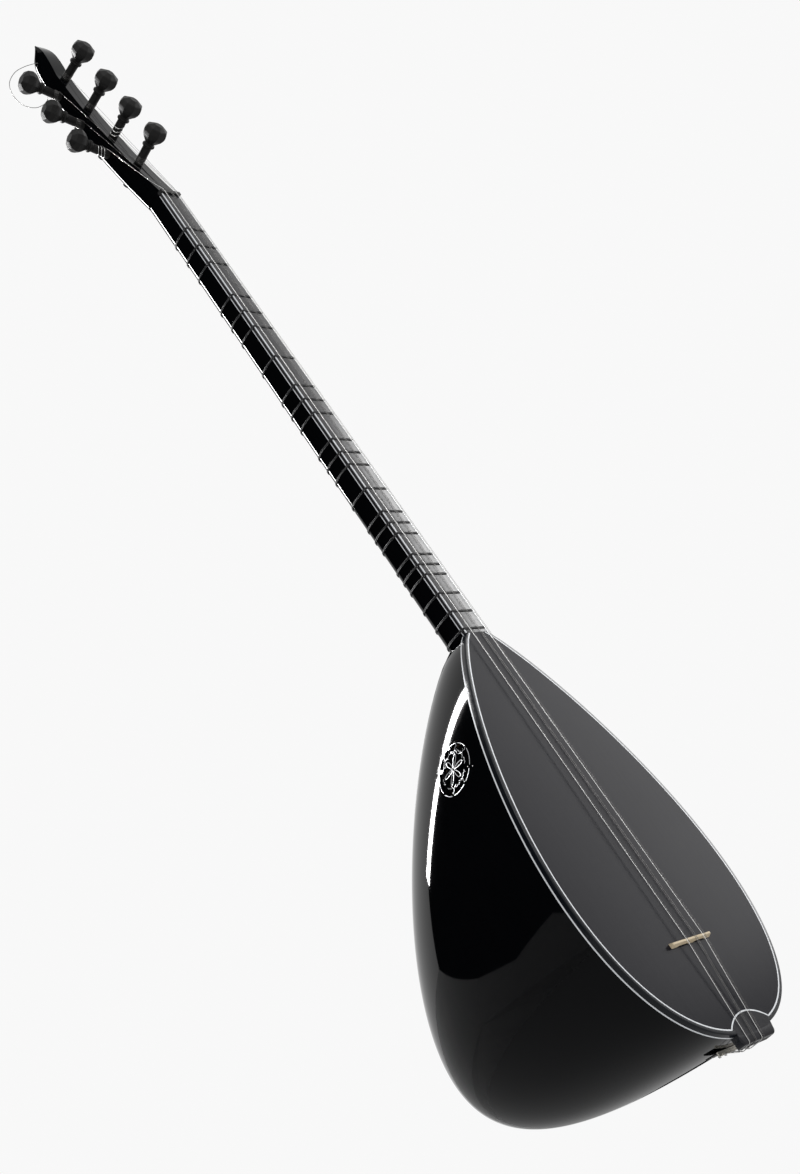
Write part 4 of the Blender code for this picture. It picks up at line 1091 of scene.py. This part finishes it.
def stringRoute(index, radius):
    # From behind its slot round the block's edge, over the bridge and the nut and on to its peg
    clear, bow = radius + strings["clear"], tail["round"]
    xTail, xBridge, xNut = [strings[place][index] for place in ("tailX", "bridgeX", "nutX")]
    lip = tailWallZ(anchor["y"]) - anchor["gap"] - (anchor["plate"] + anchor["lip"] - anchor["lipCut"]) / 2
    points = [Vector((xTail, anchor["y"] + anchor["plate"] + strings["behind"], lip)),
              Vector((xTail, anchor["y"] - strings["before"], lip)),
              Vector((xTail, blockDepth(xTail) + 0.0002, -clear + 0.0001)), Vector((xTail, bow, -clear))]
    points += [Vector((xTail, bow - (bow + clear) * math.sin(a), bow - (bow + clear) * math.cos(a)))
               for a in quarter(8)[1:-1]]
    nutZ = neck["nutZ"] + nut["thickness"]
    points += [Vector((xTail, -clear, bow)),
               Vector((xBridge, -0.0001 - bridge["height"], bridge["z"])),
               Vector((xNut, -nut["height"], nutZ - nut["thickness"] / 2)),
               Vector((xNut, -nut["height"], nutZ + 0.0002))]
    bend = strings["bends"].get(index)
    if bend:
        points.append(Vector((-headHalf(bend) - clear, headFront(bend) - clear, neck["nutZ"] + bend)))
    return points + [stringMeeting(index, radius)]


def makeString(index):
    radius = strings["radii"][index]
    points = stringRoute(index, radius)
    name = "string%d" % (index + 1)
    addPiece(name, tubeMesh(name, [points], [radius], 10), "wound" if index in strings["wound"] else "dull",
             replaces=("string_%d" % (index + 1),), smoothAngle=60)

    # The loop that holds the string behind its slot
    wide, wave, tall = strings["loop"]
    centre = points[0] + Vector((0, strings["before"], 0))
    loop = [centre + Vector((wide * math.cos(t), wave * math.cos(2 * t), tall * math.sin(t)))
            for t in around(20)]
    addPiece("stringLoop%d" % (index + 1), tubeMesh("stringLoop", [loop], [radius], closed=True), "dull",
             smoothAngle=60)


def makeWinding(index, perTurn=28):
    # The turns of the string on its peg: each lies nearly flat and steps to the next on the far side
    kind, number, h = pegList[index]
    radius = strings["radii"][strings["pegs"].index(index)]
    ring = pegs["radius"] * windings["lift"] + radius
    pitch, points, height = windings["pitch"][index], [], windings["start"]
    for _ in range(windings["turns"][index]):
        for i, turn in enumerate(around(perTurn)):
            climb = min(max((i / perTurn - windings["climbFrom"]) / windings["climbOver"], 0.0), 1.0)
            points.append(Vector((ring * math.cos(turn), ring * math.sin(turn), height + pitch * climb)))
        height += pitch
    points.append(Vector((ring, 0, height)))
    clean = index in windings["clean"]
    thick = radius * windings["cleanThick" if clean else "dullThick"]
    name = "winding%d" % (index + 1)
    piece = addPiece(name, tubeMesh(name, [points], [thick]), "wound" if clean else "dull",
                     carrier="%s_peg_%d" % (kind, number + 1), shift=False,
                     replaces=("winding_%d" % (index + 1),), smoothAngle=60)
    piece.matrix_world = pegFrame(kind, h)


for index in range(7):
    makeString(index)
    makeWinding(index)
addPiece("looseEnd", tubeMesh("looseEnd", [smoothRoute(looseEnd, 10)], [looseRadius]), "dull",
         replaces=("loose_string_end",), smoothAngle=60)
print("strings made")


# Bridge

def bridgeOutline():
    # A straight bar with two low arches between its three feet, rounded tips and a notch for each string
    half, foot, under = bridge["length"] / 2, bridge["foot"], bridge["under"]
    top, tip, arch = under - bridge["height"], under - bridge["tip"], under - bridge["arch"]
    lower = [(-half, under), (-half + foot, under)]
    for start, end in ((-half + foot, -foot / 2), (foot / 2, half - foot)):
        for i in range(1, 12):
            rise = min(1.0, math.sin(math.pi * i / 12) * 2.4)
            lower.append((start + (end - start) * i / 12, under + (arch - under) * rise))
        lower += [(end, under)] + ([(foot / 2, under)] if start < 0 else [])
    lower.append((half, under))
    flat = half - bridge["tipLength"]
    ends = [(flat + bridge["tipLength"] * math.cos(a), tip + (top - tip) * math.sin(a)) for a in quarter(5)]
    upper = ends + [(flat - 2 * flat * i / 48, top) for i in range(1, 48)] + [(-x, y) for x, y in ends]
    for string, place in enumerate(strings["bridgeX"]):
        x, r = place - bridge["x"], strings["radii"][string] + bridge["notch"]
        upper = [point for point in upper if abs(point[0] - x) > r + 0.0001]
        upper += [(x + r * aside, top + r * deep)
                  for aside, deep in ((1, 0), (0.8, 0.9), (0, 1.25), (-0.8, 0.9), (-1, 0))]
    return lower + sorted(upper, key=lambda p: (-p[0], p[1] if p[0] < 0 else -p[1]))


def makeBridge():
    # The bar thins to its ridge, and its outer edges are chamfered
    half, under, chamfer = bridge["length"] / 2, bridge["under"], bridge["chamfer"]
    middle = under - bridge["height"] / 2
    outline = bridgeOutline()

    def build(shape):
        rings = []
        for side, inset in ((-1, chamfer), (-0.86, 0.0), (0.86, 0.0), (1, chamfer)):
            ring = []
            for x, y in outline:
                share = max(0.0, (under - y) / bridge["height"])
                thick = bridge["thickness"] / 2 * (1 - bridge["thin"] * share ** 1.5)
                ring.append((bridge["x"] + x * (1 - inset / half),
                             y + (middle - y) * (inset / (bridge["height"] / 2)), bridge["z"] + thick * side))
            rings.append(ring)
        loft(shape, rings)

    addPiece("bridgeBar", meshFrom("bridgeBar", build), "bridge", carrier="bridge", replaces=("bridge",),
             smoothAngle=32)


makeBridge()


# Tied frets

frets = {"cents": (100, 150, 200, 300, 350, 400, 500, 600, 650, 700, 800, 850, 900, 1000, 1100, 1150, 1200,
                   1300, 1350, 1400, 1500, 1600, 1700),
         "scale": 0.880, "line": 0.00034, "turns": 3, "spacing": 2.02, "seat": 0.00012,
         "knotDepth": 0.0011, "knotHeight": 0.0013}


def fretTurn(z, rise):
    # One turn of line: round the neck's back, up the left side and across the fingerboard
    half, line = neckHalf(z), frets["line"] + frets["seat"]
    side, level = half + line, z + rise
    path = roundedBack(half, neckTopY, neckDepth(z) - neckTopY, neck["square"], 34, line)
    corner = [(-half - line * math.cos(a), -line * math.sin(a) + 0.0002) for a in quarter(4)]
    path += [(-side, neckTopY * 0.6), (-side, 0.0012)] + corner
    path += [(-half + 2 * half * i / 6, -line) for i in range(1, 6)]
    path += [(-x, y) for x, y in reversed(corner)] + [(side, 0.0012), (side, neckTopY * 0.6)]
    return [(x, y, level) for x, y in path]


def makeFret(index, z):
    name, r = "fret_%02d" % (index + 1), frets["line"]
    turns = [fretTurn(z, (k - 1) * r * frets["spacing"]) for k in range(frets["turns"])]

    # The knot: two crossing bights on the left side and its two trimmed ends
    x, y = -neckHalf(z) - r - frets["seat"] - r * 1.2, neckTopY * 0.55
    bight = [(x - r * 0.4 * math.sin(2 * t), y + frets["knotDepth"] * math.sin(t),
              z + frets["knotHeight"] * math.cos(t)) for t in around(18)]
    ends = [[(x, y, z + 0.0004), (x - 0.0007, y + 0.0006, z + 0.0009), (x - 0.0011, y + 0.0016, z + 0.0011)],
            [(x, y, z - 0.0004), (x - 0.0007, y - 0.0003, z - 0.0009), (x - 0.0011, y - 0.0010, z - 0.0014)]]
    for part, paths, share, closed, replaces in (("Tie", turns, 1, True, (name,)),
                                                 ("Knot", [bight], 0.95, True, ()),
                                                 ("Ends", ends, 0.9, False, ())):
        mesh = tubeMesh("fret" + part, paths, [r * share] * len(paths), closed=closed)
        addPiece("fret%s%02d" % (part, index + 1), mesh, "line", carrier=name, replaces=replaces,
                 smoothAngle=60)


for index, cents in enumerate(frets["cents"]):
    makeFret(index, bridge["z"] + frets["scale"] * 2 ** (-cents / 1200))
print("bridge and frets made")

# The part's own pieces that stay only get their finishes
for node, finish in (("nut", "nut"), ("neck_block", "raw")):
    cadObject(node).material_slots[0].material = materials[finish]


# Light, floor and camera

studio = {"worldFill": 0.52, "worldColour": (0.94, 0.94, 0.94), "floorColour": (0.92, 0.92, 0.92),
          "floorZ": -0.26, "floorSize": 40,
          # Lamps: place, target, size and power; the strip gives its two ends and its width instead
          "keyLamp": ((-1.2, -2.2, 1.9), (0, 0, 0.4), (1.2, 1.2), 24.0),
          "sideLamp": ((2.65, -1.2, 1.25), (0, 0, 0.5), (0.9, 1.6), 21.0),
          "bowlStrip": (((0.17, 2.18, 1.63), (-0.24, 1.22, 2.53)), (-0.08, 0.05, 0.31), 0.145, 62.0),
          # Panels: their rims, and how far out their middles are drawn
          "drawn": {"leftFlag": 1.25, "edgeFlag": 1.0, "lowWall": 1.2},
          "edgeFlag": ((2.22, 1.62, -0.20), (2.75, 0.95, -0.20), (2.75, 0.95, 3.40), (1.62, 1.62, 3.40)),
          "lowWall": ((-2.52, 0.84, 0.80), (-2.26, 1.47, 0.62), (-2.06, 1.80, 0.49), (-1.23, 2.40, 0.86),
                      (-0.13, 2.56, 1.27), (0.55, 2.50, 0.95), (1.30, 2.15, 0.40), (1.70, 1.85, -0.26),
                      (0.55, 2.55, -0.26), (-0.13, 2.65, -0.26), (-1.28, 2.50, -0.26), (-2.15, 1.90, -0.26),
                      (-2.60, 0.90, -0.26)),
          "leftFlag": ((-0.12, 2.44, 1.21), (-1.17, 2.28, 0.82), (-1.96, 1.71, 0.46), (-2.15, 1.40, 0.59),
                       (-2.28, 1.27, 0.08), (-2.50, 0.75, 0.08), (-2.35, 0.70, 2.20), (-1.60, 0.80, 2.60),
                       (-0.40, 0.80, 2.80), (-0.33, 1.41, 2.39), (-0.13, 1.72, 2.18), (0.00, 1.92, 1.99),
                       (0.13, 2.07, 1.80), (0.17, 2.19, 1.64))}
# The camera's place and its own axes
view = {"lens": 62.857, "sensor": 36.0, "place": (-1.45864, -0.84041, -0.19611),
        "axes": ((0.6099, -0.5940, -0.5246), (0.0245, -0.6476, 0.7616), (-0.7921, -0.4773, -0.3804))}


def makeWorld():
    world = bpy.data.worlds.new("studio")
    scene.world = world
    world.use_nodes = True
    sheet = Sheet(world.node_tree)
    camera, gloss, glass = [sheet.node("ShaderNodeLightPath", out="Is %s Ray" % ray)
                            for ray in ("Camera", "Glossy", "Transmission")]
    seen = (camera + gloss + glass).clamped()
    strength = studio["worldFill"] + (1 - studio["worldFill"]) * seen
    sheet.fill(world.node_tree.nodes["Background"], {"Color": studio["worldColour"], "Strength": strength})


def lamp(name, place, target, size, power):
    data = bpy.data.lights.new(name, "AREA")
    data.shape, data.size, data.size_y, data.energy = "RECTANGLE", size[0], size[1], power
    item = placed(name, data)
    item.location = place
    item.rotation_euler = (Vector(place) - Vector(target)).to_track_quat("Z", "Y").to_euler()
    return item


def glint(name, ends, target, width, power):
    # A narrow lamp between two points that only gloss sees
    low, high = [Vector(end) for end in ends]
    middle = (low + high) / 2
    item = lamp(name, middle, target, (width, (high - low).length), power)
    back = (middle - Vector(target)).normalized()
    tall = (high - low).normalized()
    tall = (tall - back * tall.dot(back)).normalized()
    item.matrix_world = Matrix((tall.cross(back), tall, back)).transposed().to_4x4()
    item.matrix_world.translation = middle
    item.visible_camera = item.visible_diffuse = False


def matteNodes(sheet, colour):
    return {"Base Color": colour, "Roughness": 1.0, "Specular IOR Level": 0.0}


def stagePanel(name, material):
    # A fan of triangles, drawn out at its middle, that only gloss sees
    points, drawn = studio[name], studio["drawn"][name]

    def fan(shape):
        rim = [shape.verts.new(point) for point in points]
        middle = shape.verts.new(sum((Vector(point) for point in points), Vector()) / len(points) * drawn)
        for a, b in zip(rim, rim[1:] + rim[:1]):
            shape.faces.new((middle, a, b))

    item = placed(name, meshFrom(name, fan))
    item.visible_camera = item.visible_diffuse = item.visible_shadow = False
    item.data.materials.append(material)


def stageFloor(material):
    def build(shape):
        bmesh.ops.create_grid(shape, x_segments=1, y_segments=1, size=studio["floorSize"])

    floor = placed("floor", meshFrom("floor", build))
    floor.location.z = studio["floorZ"]
    floor.data.materials.append(material)


def makeStudio():
    makeWorld()
    for name in ("keyLamp", "sideLamp"):
        lamp(name, *studio[name])
    glint("bowlStrip", *studio["bowlStrip"])

    # Black flags keep pale reflections out of the bowl's left side and out of the gloss's thin outline, and a
    # low pale panel meets the floor
    black = newMaterial("flagBlack", matteNodes, (0, 0, 0))
    pale = newMaterial("paleFloor", matteNodes, studio["floorColour"])
    for name, material in (("leftFlag", black), ("edgeFlag", black), ("lowWall", pale)):
        stagePanel(name, material)
    stageFloor(pale)


def makeCamera():
    data = bpy.data.cameras.new("camera")
    data.lens, data.sensor_width, data.sensor_fit = view["lens"], view["sensor"], "AUTO"
    data.clip_start, data.clip_end = 0.05, 50
    item = placed("camera", data)
    turn = Matrix(view["axes"]).transposed().to_4x4()
    x, y, z = view["place"]
    turn.translation = (x, y + faceY, z)
    item.matrix_world = turn
    scene.camera = item


makeStudio()
makeCamera()
scene.view_settings.view_transform = "Standard"
print("studio and camera made")
